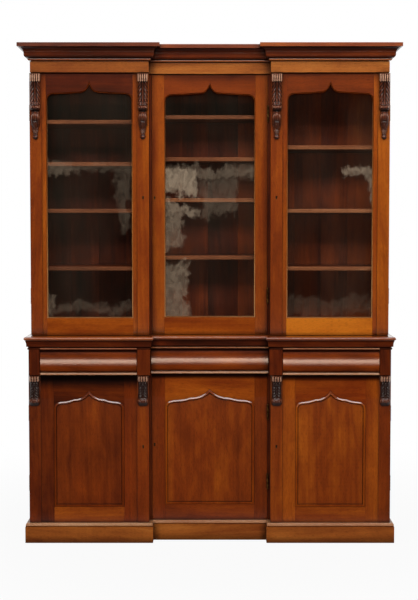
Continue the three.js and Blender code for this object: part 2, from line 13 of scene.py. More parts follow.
import bmesh
import bpy
import numpy as np
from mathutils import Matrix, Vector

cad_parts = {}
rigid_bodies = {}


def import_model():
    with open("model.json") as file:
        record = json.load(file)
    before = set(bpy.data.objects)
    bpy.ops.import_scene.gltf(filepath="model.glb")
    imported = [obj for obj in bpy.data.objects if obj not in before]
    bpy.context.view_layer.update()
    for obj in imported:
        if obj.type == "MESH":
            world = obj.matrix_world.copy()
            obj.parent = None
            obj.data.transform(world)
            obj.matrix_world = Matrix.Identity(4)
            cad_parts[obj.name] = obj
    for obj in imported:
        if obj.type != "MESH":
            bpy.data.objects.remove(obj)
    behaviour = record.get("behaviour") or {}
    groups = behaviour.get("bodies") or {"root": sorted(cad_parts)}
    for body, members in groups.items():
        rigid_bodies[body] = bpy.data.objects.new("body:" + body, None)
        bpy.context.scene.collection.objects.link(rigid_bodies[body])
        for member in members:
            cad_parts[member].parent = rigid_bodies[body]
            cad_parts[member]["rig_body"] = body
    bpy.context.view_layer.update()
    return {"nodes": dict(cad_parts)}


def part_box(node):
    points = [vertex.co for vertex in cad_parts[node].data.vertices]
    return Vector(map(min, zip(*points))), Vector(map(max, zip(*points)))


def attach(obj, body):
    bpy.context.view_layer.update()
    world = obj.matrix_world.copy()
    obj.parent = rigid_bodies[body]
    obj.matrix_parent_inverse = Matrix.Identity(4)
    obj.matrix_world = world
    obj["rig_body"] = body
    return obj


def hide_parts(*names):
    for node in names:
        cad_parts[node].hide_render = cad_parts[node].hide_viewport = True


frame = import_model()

BACK_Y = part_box("upper_back")[1].y
PLACES = ("left", "middle", "right")
STOREYS = ("upper", "base")
SEED = 1860
rng = np.random.default_rng(SEED)

# %% [markdown]
# ## Camera
#
# The photograph was taken from straight ahead, at a standing person's eye height, tilted a little
# down. A camera can be placed by eye, or worked out from edges whose real size is known.
# The second way is used here, because then every piece lines up with the photograph.

# %% Camera
EYE = (-0.00382, -6.4926, 1.53707)
TILT_DOWN = 0.0572912
LENS = 78.98

camera_data = bpy.data.cameras.new("eye")
camera_data.lens = LENS
camera = bpy.data.objects.new("eye", camera_data)
camera.location = EYE
camera.rotation_euler = (math.pi / 2 - TILT_DOWN, 0, 0)
bpy.context.scene.collection.objects.link(camera)
bpy.context.scene.camera = camera
bpy.context.scene.view_settings.view_transform = "Standard"
print("camera:", EYE, "lens", LENS)

# %% [markdown]
# ## A helper for materials
#
# A procedural material is a chain of small steps: coordinates, noise, a curve, a colour. Written
# out in full it hides its own idea, so one small class adds a node, sets or links its inputs, and
# hands back an output. Constants still go straight to the shader's own sockets.


# %% A helper for materials
def linear(red, green, blue):
    """A colour read off a screen (0 to 255) as the linear light that a shader wants: the darkest
    values are divided by 12.92, and the rest are lifted by 0.055 and raised to the power 2.4."""
    screen = np.array([red, green, blue]) / 255
    light = np.where(screen > 0.04045, ((screen + 0.055) / 1.055) ** 2.4, screen / 12.92)
    return (*light.tolist(), 1.0)


class Tree:
    """A tree of shader nodes. Each method adds one small step and hands back its output."""

    def __init__(self, tree):
        self.tree = tree

    def node(self, kind, inputs, output=0, **settings):
        """Any node: its settings by name, and its inputs by name or number."""
        made = self.tree.nodes.new("ShaderNode" + kind)
        for key, value in settings.items():
            setattr(made, key, value)
        self.feed(made, inputs)
        return made.outputs[output]

    def feed(self, target, inputs):
        """Link the inputs that come from other nodes, and set the rest."""
        for key, value in inputs.items():
            if isinstance(value, bpy.types.NodeSocket):
                self.tree.links.new(value, target.inputs[key])
            else:
                target.inputs[key].default_value = value

    def rays(self):
        """What kind of ray is looking, as outputs that are one or nothing."""
        return self.tree.nodes.new("ShaderNodeLightPath").outputs

    def place(self):
        """Where a point lies, in metres from the origin of its object."""
        return self.node("TexCoord", {}, output="Object")

    def split(self, vector):
        """The three numbers of a vector."""
        return self.node("SeparateXYZ", {0: vector}).node.outputs

    def math(self, operation, a, b=0.0):
        """Two numbers joined by one operation."""
        return self.node("Math", {0: a, 1: b}, operation=operation)

    def stretch(self, place, scales):
        """A place multiplied axis by axis."""
        return self.node("VectorMath", {0: place, 1: scales}, operation="MULTIPLY")

    def noise(self, place, scales, detail=2.0, distortion=0.0):
        """Cloudy noise whose patches are about one over the scale long on each axis."""
        inputs = {"Vector": self.stretch(place, scales), "Scale": 1.0, "Detail": detail}
        return self.node("TexNoise", {**inputs, "Distortion": distortion})

    def remap(self, value, low, high, to_low=0.0, to_high=1.0):
        """A smooth step from to_low to to_high while the value goes from low to high."""
        inputs = {"Value": value, 1: low, 2: high, 3: to_low, 4: to_high}
        return self.node("MapRange", inputs, interpolation_type="SMOOTHSTEP")

    def mix(self, factor, a, b, blend="MIX"):
        """Colour a with a share of colour b blended over it."""
        inputs = {0: factor, 6: a, 7: b}
        return self.node("Mix", inputs, output=2, data_type="RGBA", blend_type=blend)

    def ramp(self, value, stops):
        """A colour read off a scale of (position, colour) stops."""
        made = self.tree.nodes.new("ShaderNodeValToRGB")
        self.feed(made, {0: value})
        elements = made.color_ramp.elements
        elements[0].position, elements[0].color = stops[0]
        elements[1].position, elements[1].color = stops[-1]
        for position, colour in stops[1:-1]:
            elements.new(position).color = colour
        return made.outputs[0]


class Finish(Tree):
    """A material: a tree that ends in one shader."""

    def __init__(self, name):
        self.material = bpy.data.materials.new(name)
        self.material.use_nodes = True
        super().__init__(self.material.node_tree)
        self.shader = self.tree.nodes["Principled BSDF"]

    def shade(self, inputs):
        """Link or set inputs of the shader itself."""
        self.feed(self.shader, inputs)

    def bump(self, height, distance, strength=1.0):
        """A height that tilts the surface as a real unevenness of this distance would."""
        inputs = {"Height": height, "Distance": distance, "Strength": strength}
        self.shade({"Normal": self.node("Bump", inputs)})


print("materials: helper ready")

# %% [markdown]
# ## Light, floor and background
#
# The piece stands in a studio with a white wall behind it. A wide soft lamp hangs high in front,
# above the direction in which the flat doors mirror the room, so that they keep their depth.
# Another hangs overhead. A low warm strip is there for the swelling drawer fronts to mirror. The
# white comes from what the camera, mirrors and glass see, and not from stronger lamps. The side
# of the room behind the camera is dim.

# %% Light, floor and background
WHITE = (1.0, 1.0, 1.0, 1.0)
FILL_STRENGTH = 0.22
ROOM_STRENGTH = 0.06
WALL_EDGE = (-0.25, 0.35)
FLOOR_SIZE = 60.0
FLOOR_COLOUR = (0.3, 0.295, 0.29, 1.0)
FLOOR_ROUGHNESS = 0.8
FLOOR_GLOW = 0.94
SHADOW_EDGE = (0.6, 3.0)
SHEET_EDGE = (-0.9, -0.4)
LAMPS = {
    "window": {"place": (0.2, -4.3, 4.2), "aim": (0.1, 0, 0.8), "size": (6.2, 1.25),
               "power": 241, "colour": (1.0, 0.97, 0.92)},
    "skylight": {"place": (0.4, -1.8, 4.8), "aim": (0.0, 0.1, 1.4), "size": (3.0, 1.0),
                 "power": 50, "colour": (1.0, 0.98, 0.96)},
    "low_strip": {"place": (0.1, -5.0, 0.41), "aim": (0.1, 0, 0.88), "size": (3.6, 0.14),
                  "power": 26, "colour": (1.0, 0.72, 0.55)},
}


def build_world():
    """White for the camera and a low fill for the wood. In mirrors and through glass it is white
    towards the wall behind the piece and dim towards the room in front."""
    world = bpy.data.worlds.new("studio")
    world.use_nodes = True
    t = Tree(world.node_tree)
    rays = t.rays()
    forward = t.split(t.node("TexCoord", {}, output="Generated"))[1]
    wall = t.remap(forward, *WALL_EDGE, ROOM_STRENGTH, 1.0)
    seen = t.math("MAXIMUM", rays["Is Glossy Ray"], rays["Is Transmission Ray"])
    mirrored = t.node("Mix", {0: seen, 2: FILL_STRENGTH, 3: wall})
    strength = t.node("Mix", {0: rays["Is Camera Ray"], 2: mirrored, 3: 1.0})
    t.feed(t.tree.nodes["Background"], {"Color": WHITE, "Strength": strength})
    bpy.context.scene.world = world


def build_floor():
    """A white floor that shows a trace of the shadow, less and less across SHADOW_EDGE. Mirrors see
    it white too, but only on the paper sheet under the piece: in front of SHEET_EDGE it is dark."""
    corner = FLOOR_SIZE / 2
    mesh = bpy.data.meshes.new("floor")
    corners = [(-corner, -corner, 0), (corner, -corner, 0), (corner, corner, 0), (-corner, corner, 0)]
    mesh.from_pydata(corners, [], [(0, 1, 2, 3)])
    floor = bpy.data.objects.new("floor", mesh)
    bpy.context.scene.collection.objects.link(floor)
    f = Finish("white_floor")
    f.shade({"Base Color": FLOOR_COLOUR, "Roughness": FLOOR_ROUGHNESS})
    place = f.place()
    far = f.node("VectorMath", {0: place}, output="Value", operation="LENGTH")
    share = f.remap(far, *SHADOW_EDGE, FLOOR_GLOW, 1.0)
    sheet = f.remap(f.split(place)[1], *SHEET_EDGE, ROOM_STRENGTH, 1.0)
    rays = f.rays()
    mirrored, through = rays["Is Glossy Ray"], rays["Is Transmission Ray"]
    seen = f.math("MAXIMUM", f.math("MAXIMUM", rays["Is Camera Ray"], mirrored), through)
    dimmed = f.math("MULTIPLY", mirrored, f.math("SUBTRACT", 1.0, sheet))
    glow = f.node("Emission", {"Color": WHITE, "Strength": f.math("SUBTRACT", 1.0, dimmed)})
    both = f.node("MixShader", {0: f.math("MULTIPLY", seen, share), 1: f.shader.outputs[0], 2: glow})
    f.feed(f.tree.nodes["Material Output"], {"Surface": both})
    mesh.materials.append(f.material)


def area_light(name, place, aim, size, power, colour):
    """A rectangular lamp at a place, turned so that it shines at a point."""
    data = bpy.data.lights.new(name, "AREA")
    data.shape = "RECTANGLE"
    data.size, data.size_y = size
    data.energy = power
    data.color = colour
    lamp = bpy.data.objects.new(name, data)
    lamp.location = place
    direction = np.array(aim) - np.array(place)
    lamp.rotation_euler = (math.acos(-direction[2] / np.linalg.norm(direction)), 0,
                           math.atan2(direction[1], direction[0]) - math.pi / 2)
    bpy.context.scene.collection.objects.link(lamp)


build_world()
build_floor()
for name, lamp in LAMPS.items():
    area_light(name, **lamp)
print("stage ready: world, floor and", len(LAMPS), "lamps")

# %% [markdown]
# ## Shapes as rings and grids
#
# Nearly everything a cabinet maker cuts is a section carried along a line: a stile, a rail, a
# shelf, a moulding. So one helper, a stack of rings, makes them all. An outline is moved inwards
# along its mitres to give the soft edge that a plane and a polishing rag leave on real wood.

# %% Shapes as rings and grids
SOFT = 0.0006
EDGE = 0.0012
MITRE_LIMIT = 0.25
NO_LENGTH = 1e-12
PLANES = {"front": (0, 2, 1), "plan": (0, 1, 2), "side": (1, 2, 0)}


def grid_faces(rows, columns, wrap_rows=False, wrap_columns=False):
    """Quads between neighbours on a grid; a wrapped side also joins its last line to its first."""
    r = np.arange(rows if wrap_rows else rows - 1)[:, None]
    c = np.arange(columns if wrap_columns else columns - 1)[None, :]
    down, right = (r + 1) % rows, (c + 1) % columns
    corners = [r * columns + c, r * columns + right, down * columns + right, down * columns + c]
    return np.stack(np.broadcast_arrays(*corners), -1).reshape(-1, 4).tolist()


def inset(outline, distance):
    """The outline moved inwards: each corner moves by the sum of its two edge normals over one
    plus their dot product, which is where the two moved edges meet."""
    p = np.asarray(outline, float)
    edge = np.roll(p, -1, axis=0) - p
    edge /= np.maximum(np.linalg.norm(edge, axis=1, keepdims=True), NO_LENGTH)
    turned = np.sign((p[:, 0] * np.roll(p[:, 1], -1) - p[:, 1] * np.roll(p[:, 0], -1)).sum())
    normal = np.stack([-edge[:, 1], edge[:, 0]], -1) * turned
    before = np.roll(normal, 1, axis=0)
    dot = (normal * before).sum(1, keepdims=True)
    return p + distance * (normal + before) / np.maximum(1 + dot, MITRE_LIMIT)


def stack(rings, plane):
    """Closed outlines at rising levels, joined ring to ring, with a flat face on each end."""
    order = PLANES[plane]
    flat = np.stack([np.column_stack([outline, np.full(len(outline), level)]) for outline, level in rings])
    points = np.empty_like(flat)
    points[:, :, order] = flat
    count, around = points.shape[:2]
    faces = grid_faces(count, around, wrap_columns=True)
    faces += [list(range(around)), list(range((count - 1) * around, count * around))]
    return points.reshape(-1, 3), faces


def slab(outline, plane, start, stop, soft=SOFT, steps=3):
    """A board: its outline between two levels, with edges that turn through a quarter circle."""
    turn = np.linspace(0, math.pi / 2, steps + 1)
    way = math.copysign(1, stop - start)
    low = [(inset(outline, soft * (1 - math.sin(a))), start + way * soft * (1 - math.cos(a))) for a in turn]
    high = [(ring, stop - (level - start)) for ring, level in reversed(low)]
    return stack(low + high, plane)


def rounded(corners, soft=EDGE, steps=3):
    """Each corner of a closed outline as a quadratic curve that starts and ends soft away from it."""
    p = np.asarray(corners, float)
    soft = np.broadcast_to(soft, len(p))[:, None]
    before, after = np.roll(p, 1, axis=0) - p, np.roll(p, -1, axis=0) - p
    a = p + before / np.linalg.norm(before, axis=1, keepdims=True) * soft
    b = p + after / np.linalg.norm(after, axis=1, keepdims=True) * soft
    t = np.linspace(0, 1, steps + 1)[None, :, None]
    curve = (1 - t) ** 2 * a[:, None] + 2 * t * (1 - t) * p[:, None] + t ** 2 * b[:, None]
    return curve.reshape(-1, 2)


def rectangle(x0, x1, z0, z1):
    """Corners of a rectangle, anticlockwise."""
    return np.array([(x0, z0), (x1, z0), (x1, z1), (x0, z1)], float)


def sorted_pair(a, b):
    """Two values in rising order."""
    return (a, b) if a < b else (b, a)


def quadratic(a, control, b, steps=9):
    """Points of a quadratic curve from a towards b, both included."""
    t = np.linspace(0, 1, steps)[:, None]
    return (1 - t) ** 2 * np.array(a) + 2 * t * (1 - t) * np.array(control) + t ** 2 * np.array(b)


print("shapes: helpers ready")

# %% [markdown]
# ## From shapes to pieces
#
# A piece is made of boards, and each board was cut from its own tree: it has its own direction of
# grain, its own place in the log and its own tone. These go into the mesh as two attributes,
# `grain` (metres along, across and through the board) and `tone`. The material reads them, so one
# finish serves many boards without two looking alike.

# %% From shapes to pieces
AXES = {"x": [0, 2, 1], "y": [1, 0, 2], "z": [2, 0, 1]}
LOG_SIZE = 8.0
GRAIN_SLOPE = 0.03
SHARP_ANGLE = math.radians(38)


def board(shape, along="z", tone=0.5, finish=0):
    """One closed shape with the axis its grain follows, its tone and the number of its finish."""
    points, faces = shape
    local = points[:, AXES[along]]
    local = local + rng.uniform(-LOG_SIZE, LOG_SIZE, 3)
    local[:, 1] += rng.normal(0, GRAIN_SLOPE) * local[:, 0]
    return {"points": points, "faces": faces, "grain": local, "tone": tone, "finish": finish}


def join(boards):
    """All points, faces and attributes of a list of boards as whole arrays."""
    starts = np.cumsum([0] + [len(b["points"]) for b in boards])
    faces = [[start + i for i in face] for start, b in zip(starts, boards) for face in b["faces"]]
    points = np.concatenate([b["points"] for b in boards])
    grain = np.concatenate([b["grain"] for b in boards])
    tones = np.concatenate([np.broadcast_to(b["tone"], len(b["points"])) for b in boards])
    finishes = np.concatenate([np.broadcast_to(b["finish"], len(b["faces"])) for b in boards])
    return points, faces, grain, tones, finishes


def piece(name, boards, materials, replaces=(), body=None):
    """One finished piece: its mesh with soft shading, its materials, and the body it rides on."""
    points, faces, grain, tones, finishes = join(boards)
    mesh = bpy.data.meshes.new(name)
    mesh.from_pydata(points.tolist(), [], faces)
    mesh.polygons.foreach_set("material_index", finishes.astype(np.int32))
    mesh.attributes.new("grain", "FLOAT_VECTOR", "POINT").data.foreach_set("vector", grain.ravel())
    mesh.attributes.new("tone", "FLOAT", "POINT").data.foreach_set("value", tones.astype(np.float32))
    edit = bmesh.new()
    edit.from_mesh(mesh)
    bmesh.ops.recalc_face_normals(edit, faces=edit.faces)
    edit.to_mesh(mesh)
    edit.free()
    mesh.shade_smooth()
    mesh.set_sharp_from_angle(angle=SHARP_ANGLE)
    for material in materials:
        mesh.materials.append(material)
    made = bpy.data.objects.new(name, mesh)
    bpy.context.scene.collection.objects.link(made)
    weighted = made.modifiers.new("even_shading", "WEIGHTED_NORMAL")
    weighted.keep_sharp = True
    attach(made, body or frame["nodes"][replaces[0]]["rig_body"])
    if replaces:
        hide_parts(*replaces)
    return made


def edges_of(node):
    """Lowest and highest corner of a construction node as six plain numbers."""
    low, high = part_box(node)
    return low.x, high.x, low.y, high.y, low.z, high.z


print("pieces: helpers ready")

# %% [markdown]
# ## Mahogany
#
# Polished mahogany is read at three scales. From across the room it is broad bands of light and
# dark from board to board. At arm's length it is a fine ribbon stripe and, on the panels and the
# drawer fronts, a slow cloudy figure. Close up it is short dark pores. A picture of wood could be
# wrapped round each board, but it would show seams on every edge. Noise in solid space, stretched
# along the grain, runs through the board as real figure does, so faces and end grain agree.

# %% Mahogany
DEEP = linear(30, 10, 3)
DARK = linear(74, 25, 5)
WARM = linear(118, 49, 9)
BRIGHT = linear(150, 74, 14)
GOLD = linear(188, 108, 26)
# Painted shadow: the near-black of the band under the drawers' ledge.
SHADOW_BLACK = linear(9, 3, 1)
# Painted shade with some grime: the near-black that wood turns where other wood stands near it.
SHADE_AND_GRIME = linear(20, 7, 4)
REDDISH = linear(240, 190, 190)
MAHOGANY = [(0.0, DEEP), (0.22, DARK), (0.5, WARM), (0.72, BRIGHT), (1.0, GOLD)]
PALE = [(0.0, DEEP), (0.22, linear(74, 30, 11)), (0.5, linear(118, 58, 22)), (0.72, linear(150, 84, 32)),
        (1.0, linear(188, 120, 54))]
# Painted highlight: a pale cream ramp for the plinth mould, the drawers' ledge and the beads over the
# drawers.
PAINTED_HIGHLIGHT = [(0.0, WARM), (0.5, linear(156, 110, 76)), (1.0, linear(206, 164, 128))]
WEATHERED = [(0.0, DEEP), (0.25, linear(64, 34, 22)), (0.5, linear(112, 66, 40)), (1.0, linear(172, 118, 80))]
# Painted highlight: the pale ramp of the sticking round the panes.
STICKING_HIGHLIGHT = [(0.0, WARM), (0.5, linear(196, 128, 66)), (1.0, linear(226, 176, 122))]
PINE = [(0.0, linear(52, 34, 20)), (0.5, linear(128, 92, 56)), (1.0, linear(178, 142, 96))]
LAYERS = {
    "band": {"scales": (1.1, 10.0, 10.0), "detail": 3.0, "distortion": 0.4},
    "ribbon": {"scales": (2.6, 85.0, 85.0), "detail": 2.0, "distortion": 0.3},
    "fibre": {"scales": (18.0, 700.0, 700.0), "detail": 1.0},
    "mottle": {"scales": (7.0, 16.0, 16.0), "detail": 3.0, "distortion": 0.8},
}
LAYER_WEIGHTS = {"band": 0.55, "ribbon": 0.22, "fibre": 0.10, "mottle": 0.30}
PUSH = {"scales": (3.0, 5.0, 5.0), "reach": (0.05, 0.16, 0.16)}
SWIRL = {"scales": (3.2, 17.0, 17.0), "detail": 2.0, "distortion": 0.5}
PORE = {"scales": (55.0, 1500.0, 1500.0), "detail": 0.0}
PORE_EDGE = (0.30, 0.40)
PORE_SHADE = 0.45
RED_CLOUD = {"scales": (0.8, 4.0, 4.0), "detail": 2.0}
RED_EDGE = (0.45, 0.75)
RUB = {"scales": (3.0, 9.0, 9.0), "detail": 4.0}
RUB_EDGE = (0.3, 0.7)
GLOSS_SPREAD = (-0.06, 0.1)
SHELTER_EDGE = (0.50, 1.0)
SHELTER_SAMPLES = 4
SURFACE = {"ribbon": 0.35, "pores": 0.5, "distance": 0.0003, "strength": 0.5}
LACQUER = {"Coat Roughness": 0.10, "Coat IOR": 1.5}
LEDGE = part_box("drawer_front_left")[0].z
# Painted shadow under the drawers' ledge: its reach on the left and on the right doors, the share of it that
# is full, and the x where left turns to right.
LEDGE_SHADOW = {"left": 0.088, "right": 0.036, "full_share": 0.30, "divide": -0.32}


def grain_place(f):
    """Metres along, across and through the board, from the mesh itself."""
    return f.node("Attribute", {}, output="Vector", attribute_name="grain")


def board_tone(f):
    """The tone of the board, from the mesh itself."""
    return f.node("Attribute", {}, output="Fac", attribute_name="tone")


def add_parts(f, parts):
    """The sum of each value times its weight, measured from its own middle of one half."""
    total = None
    for value, weight in parts:
        step = f.node("Math", {0: value, 1: weight, 2: -weight / 2}, operation="MULTIPLY_ADD")
        total = step if total is None else f.math("ADD", total, step)
    return total


def swirl(f, place):
    """Slow figure: noise along the board, read at a place that other noise has pushed sideways."""
    push = f.node("TexNoise", {"Vector": f.stretch(place, PUSH["scales"]), "Scale": 1.0}, output=1)
    pushed = f.node("VectorMath", {0: push, 1: PUSH["reach"], 2: place}, operation="MULTIPLY_ADD")
    return f.noise(pushed, **SWIRL)


def ledge_shadow_mask(f, shadow_strength):
    """The painted shadow under the ledge of the drawers: full just below it and nothing at the end of
    its reach, which is longer on the left door than on the others."""
    x, _, z = f.split(f.place())
    reach = f.remap(x, LEDGE_SHADOW["divide"] - EDGE, LEDGE_SHADOW["divide"] + EDGE, LEDGE_SHADOW["left"], LEDGE_SHADOW["right"])
    below = f.math("DIVIDE", f.math("SUBTRACT", LEDGE, z), reach)
    return f.remap(below, LEDGE_SHADOW["full_share"], 1.0, shadow_strength, 0.0)


def wood(name, colours=MAHOGANY, figure=0.0, shade=0.0, red=0.40, gloss=0.42, shine=0.05, coat=0.30,
         shade_and_dirt=0.80, reach=0.04, shadow_strength=0.0):
    """Bands, ribbon, fibre, mottle and figure added up to one lightness, then turned into colour.
    Painted shade, partly grime, darkens it where other wood stands nearer than reach, and a painted
    shadow darkens it under the drawers' ledge."""
    f = Finish(name)
    place = grain_place(f)
    layers = {layer: f.noise(place, **pattern) for layer, pattern in LAYERS.items()}
    parts = [(layers[layer], weight) for layer, weight in LAYER_WEIGHTS.items()]
    if figure:
        parts.append((swirl(f, place), figure))
    lightness = f.math("ADD", f.math("ADD", board_tone(f), shade), add_parts(f, parts))
    redness = f.remap(f.noise(place, **RED_CLOUD), *RED_EDGE, 0.0, red)
    colour = f.mix(redness, f.ramp(lightness, colours), REDDISH, "MULTIPLY")
    pores = f.remap(f.noise(place, **PORE), *PORE_EDGE, 1.0, 0.0)
    colour = f.mix(f.math("MULTIPLY", pores, PORE_SHADE), colour, DEEP)
    # Painted shade, partly grime: darker where other wood stands nearer than reach, as in corners, under
    # ledges and beside raised parts.
    if shade_and_dirt:
        shelter = f.node("AmbientOcclusion", {"Distance": reach}, output="AO", samples=SHELTER_SAMPLES)
        colour = f.mix(f.remap(shelter, *SHELTER_EDGE, shade_and_dirt, 0.0), colour, SHADE_AND_GRIME)
    # Painted shadow under the drawers' ledge.
    if shadow_strength:
        colour = f.mix(ledge_shadow_mask(f, shadow_strength), colour, SHADOW_BLACK)
    roughness = f.remap(f.noise(place, **RUB), *RUB_EDGE, *(gloss + change for change in GLOSS_SPREAD))
    f.shade({"Base Color": colour, "Roughness": roughness, "Specular IOR Level": shine})
    f.shade({"Coat Weight": coat, **LACQUER})
    ribbon = f.math("MULTIPLY", layers["ribbon"], SURFACE["ribbon"])
    height = f.math("SUBTRACT", ribbon, f.math("MULTIPLY", pores, SURFACE["pores"]))
    f.bump(height, SURFACE["distance"], SURFACE["strength"])
    return f.material


MATT = {"gloss": 0.62, "coat": 0.0}
CLOSE = {"reach": 0.02}
polished = wood("mahogany_polished")
dull = wood("mahogany_dull", **MATT)
shining = wood("mahogany_moulded", shine=0.15, coat=1.0)
figured = wood("mahogany_figured", figure=0.34)
cushion_wood = wood("mahogany_cushion", figure=0.45, shine=0.15, coat=1.0)
cushion_edge = wood("mahogany_cushion_edge", figure=0.45, coat=0.0)
door_wood = wood("mahogany_door", **CLOSE)
# The tops of the cupboard doors carry the painted shadow under the drawers' ledge.
door_top = wood("mahogany_door_top", **MATT, **CLOSE, shadow_strength=0.93)
end_wood = wood("mahogany_end", figure=0.15, gloss=0.55, coat=0.06)
foot_wood = wood("mahogany_foot", **MATT, **CLOSE, shade_and_dirt=0.5)
plinth_wood = wood("mahogany_plinth", PALE, **MATT)
# Painted highlight along the plinth mould, the drawers' ledge and the beads over the drawers.
highlight_wood = wood("mahogany_painted_highlight", PAINTED_HIGHLIGHT, shade_and_dirt=0.30, **CLOSE)
shelf_edge = wood("mahogany_shelf_edge", WEATHERED, red=0.0, **MATT, shade_and_dirt=0.5, reach=0.006)
golden = wood("mahogany_golden", PALE, red=0.0)
# Painted highlight on the sticking round the panes.
sticking_highlight = wood("mahogany_sticking_highlight", STICKING_HIGHLIGHT, shade_and_dirt=0.30, **CLOSE)
# The shade of -0.20 is partly painted shade: the inside is toned darker for the dim inside of the cupboards.
inside_wood = wood("mahogany_inside", shade=-0.20, gloss=0.60, shine=0.1, coat=0.0, shade_and_dirt=0.4, reach=0.014)
pine = wood("old_pine", PINE, gloss=0.7, shine=0.2, coat=0.0, shade_and_dirt=0.4, reach=0.014)
print("woods: sixteen of mahogany and one of pine")

# %% [markdown]
# ## Mouldings round a breakfront
#
# The cornice, the waist and the plinth all follow the same kind of plan: along each side section,
# back round its corner, across the middle and out again. On the bench each run is its own length
# of moulding, and the runs meet in mitres. A modifier could bend one long strip, but then the
# grain would run round the corners. So every run is made alone: its section is placed on the two
# corners of the plan, where each point has moved out by its own projection.

# %% Mouldings round a breakfront
RECESS = 0.293
RECESS_DEPTH = 0.065
RUN_AXES = ("y", "x", "y", "x", "y", "x", "y")


def y_at(depth):
    """The y of a plane that lies this far in front of the back of the piece."""
    return BACK_Y - depth


def plan_corners(plan, grow):
    """The eight corners of a breakfront plan (half width, half recess, front depth) grown outwards."""
    half, recess, front = plan
    side, inner = half + grow, recess - grow
    near, deep = y_at(front + grow), y_at(front + grow - RECESS_DEPTH)
    left = [(-side, BACK_Y), (-side, near), (-inner, near), (-inner, deep)]
    right = [(-x, y) for x, y in reversed(left)]
    return np.array(left + right)


def runs(plan, section, tones, finish=0, profile=0.0):
    """Seven lengths of one moulding. A section is a closed list of (projection, height), and the
    profile says how much lighter each of its points is."""
    grid = np.array([plan_corners(plan, grow) for grow, _ in section])
    heights = np.array([z for _, z in section])[:, None]
    made = []
    count = len(section)
    faces = grid_faces(2, count, wrap_columns=True) + [list(range(count)), list(range(count, 2 * count))]
    lighter = np.tile(np.broadcast_to(profile, count), 2)
    for i, (axis, tone) in enumerate(zip(RUN_AXES, tones)):
        ends = [np.hstack([grid[:, j], heights]) for j in (i, i + 1)]
        made.append(board((np.concatenate(ends), faces), axis, tone + lighter, finish))
    return made


def arc(x0, z0, x1, z1, flat_start, steps=9):
    """A quarter ellipse between opposite corners of its box, level or upright at its start."""
    turn = np.linspace(0, math.pi / 2, steps)
    across, up = (np.sin(turn), 1 - np.cos(turn)) if flat_start else (1 - np.cos(turn), np.sin(turn))
    return list(zip(x0 + (x1 - x0) * across, z0 + (z1 - z0) * up))


def half_round(base, reach, z0, z1, steps=11):
    """A half ellipse that stands out from base to reach between two heights."""
    turn = np.linspace(0, math.pi, steps)
    return list(zip(base + (reach - base) * np.sin(turn), z0 + (z1 - z0) * (1 - np.cos(turn)) / 2))


print("mouldings: helpers ready")

# %% [markdown]
# ## The loose cornice
#
# The cornice lifts off. It is a frame of softwood boards with four mahogany members on it: a flat
# frieze, a small bead, a cyma that swells and hollows, and a square fillet on top. Softwood glue
# blocks hold the corner behind. Heights and projections are those of the construction model. The
# curves are finer, and a groove runs under the bead.

# %% The loose cornice
_, cornice_right, cornice_front, _, cornice_foot, cornice_top = edges_of("cornice")
FILLET = {"reach": 0.055, "height": 0.019}
UPPER_CYMA = {"reach": 0.050, "height": 0.030}
LOWER_CYMA = {"from": 0.012, "reach": 0.026, "height": 0.014}
CYMA_WALL = 0.005
CORNICE_BEAD = {"from": 0.004, "reach": 0.010, "height": 0.012}
CORNICE_BOARD = 0.022
CORNICE_SEAT = 0.062
GROOVE = {"height": 0.0045, "depth": 0.003}
FILLET_SOFT = (SOFT, 0.0010, 0.0020, SOFT)
CORNICE_TONES = {
    "frieze": (0.55, 0.60, 0.5, 0.70, 0.55, 0.76, 0.6),
    "bead": (0.55, 0.60, 0.55, 0.66, 0.55, 0.70, 0.6),
    "cyma": (0.14, 0.16, 0.14, 0.20, 0.14, 0.20, 0.14),
    "fillet": (0.33, 0.34, 0.33, 0.48, 0.4, 0.56, 0.5),
}
# Painted shade: how much darker the upper half of the cornice bead and the edges of the drawers' swelling
# are.
PAINTED_SHADE_TONE = -0.35
CYMA_SHEEN = {"above_wall": 0.002, "spread": 0.011, "lift": 0.17, "drop": 0.07}

cornice_plan = (cornice_right - FILLET["reach"], RECESS, BACK_Y - cornice_front - FILLET["reach"])
fillet_foot = cornice_top - FILLET["height"]
wall_top = fillet_foot - UPPER_CYMA["height"]
wall_foot = wall_top - CYMA_WALL
cyma_foot = wall_foot - LOWER_CYMA["height"]
bead_foot = cyma_foot - CORNICE_BEAD["height"]
frieze_groove = bead_foot - GROOVE["height"]

frieze_section = rounded([(-CORNICE_BOARD, cornice_foot), (0, cornice_foot), (0, frieze_groove),
                          (-GROOVE["depth"], frieze_groove), (-GROOVE["depth"], bead_foot),
                          (-CORNICE_BOARD, bead_foot)], SOFT)
bead_section = [(-CORNICE_BOARD, bead_foot), *half_round(CORNICE_BEAD["from"], CORNICE_BEAD["reach"],
                                                         bead_foot, cyma_foot), (-CORNICE_BOARD, cyma_foot)]
cyma_section = [(-CORNICE_BOARD, cyma_foot), (LOWER_CYMA["from"], cyma_foot),
                *arc(LOWER_CYMA["from"], cyma_foot, LOWER_CYMA["reach"], wall_foot, True)[1:],
                *arc(LOWER_CYMA["reach"], wall_top, UPPER_CYMA["reach"], fillet_foot, False),
                (-CORNICE_BOARD, fillet_foot)]
fillet_section = rounded([(-CORNICE_BOARD, fillet_foot), (FILLET["reach"], fillet_foot),
                          (FILLET["reach"], cornice_top), (-CORNICE_BOARD, cornice_top)], FILLET_SOFT, 4)

# Painted sheen along the middle of the cyma and painted shade on the rest of it: a bell of height less a
# constant.
cyma_heights = np.array([z for _, z in cyma_section]) - wall_foot - CYMA_SHEEN["above_wall"]
cyma_rise = np.exp(-(cyma_heights / CYMA_SHEEN["spread"]) ** 2)
cyma_sheen_and_shade = CYMA_SHEEN["lift"] * cyma_rise - CYMA_SHEEN["drop"]
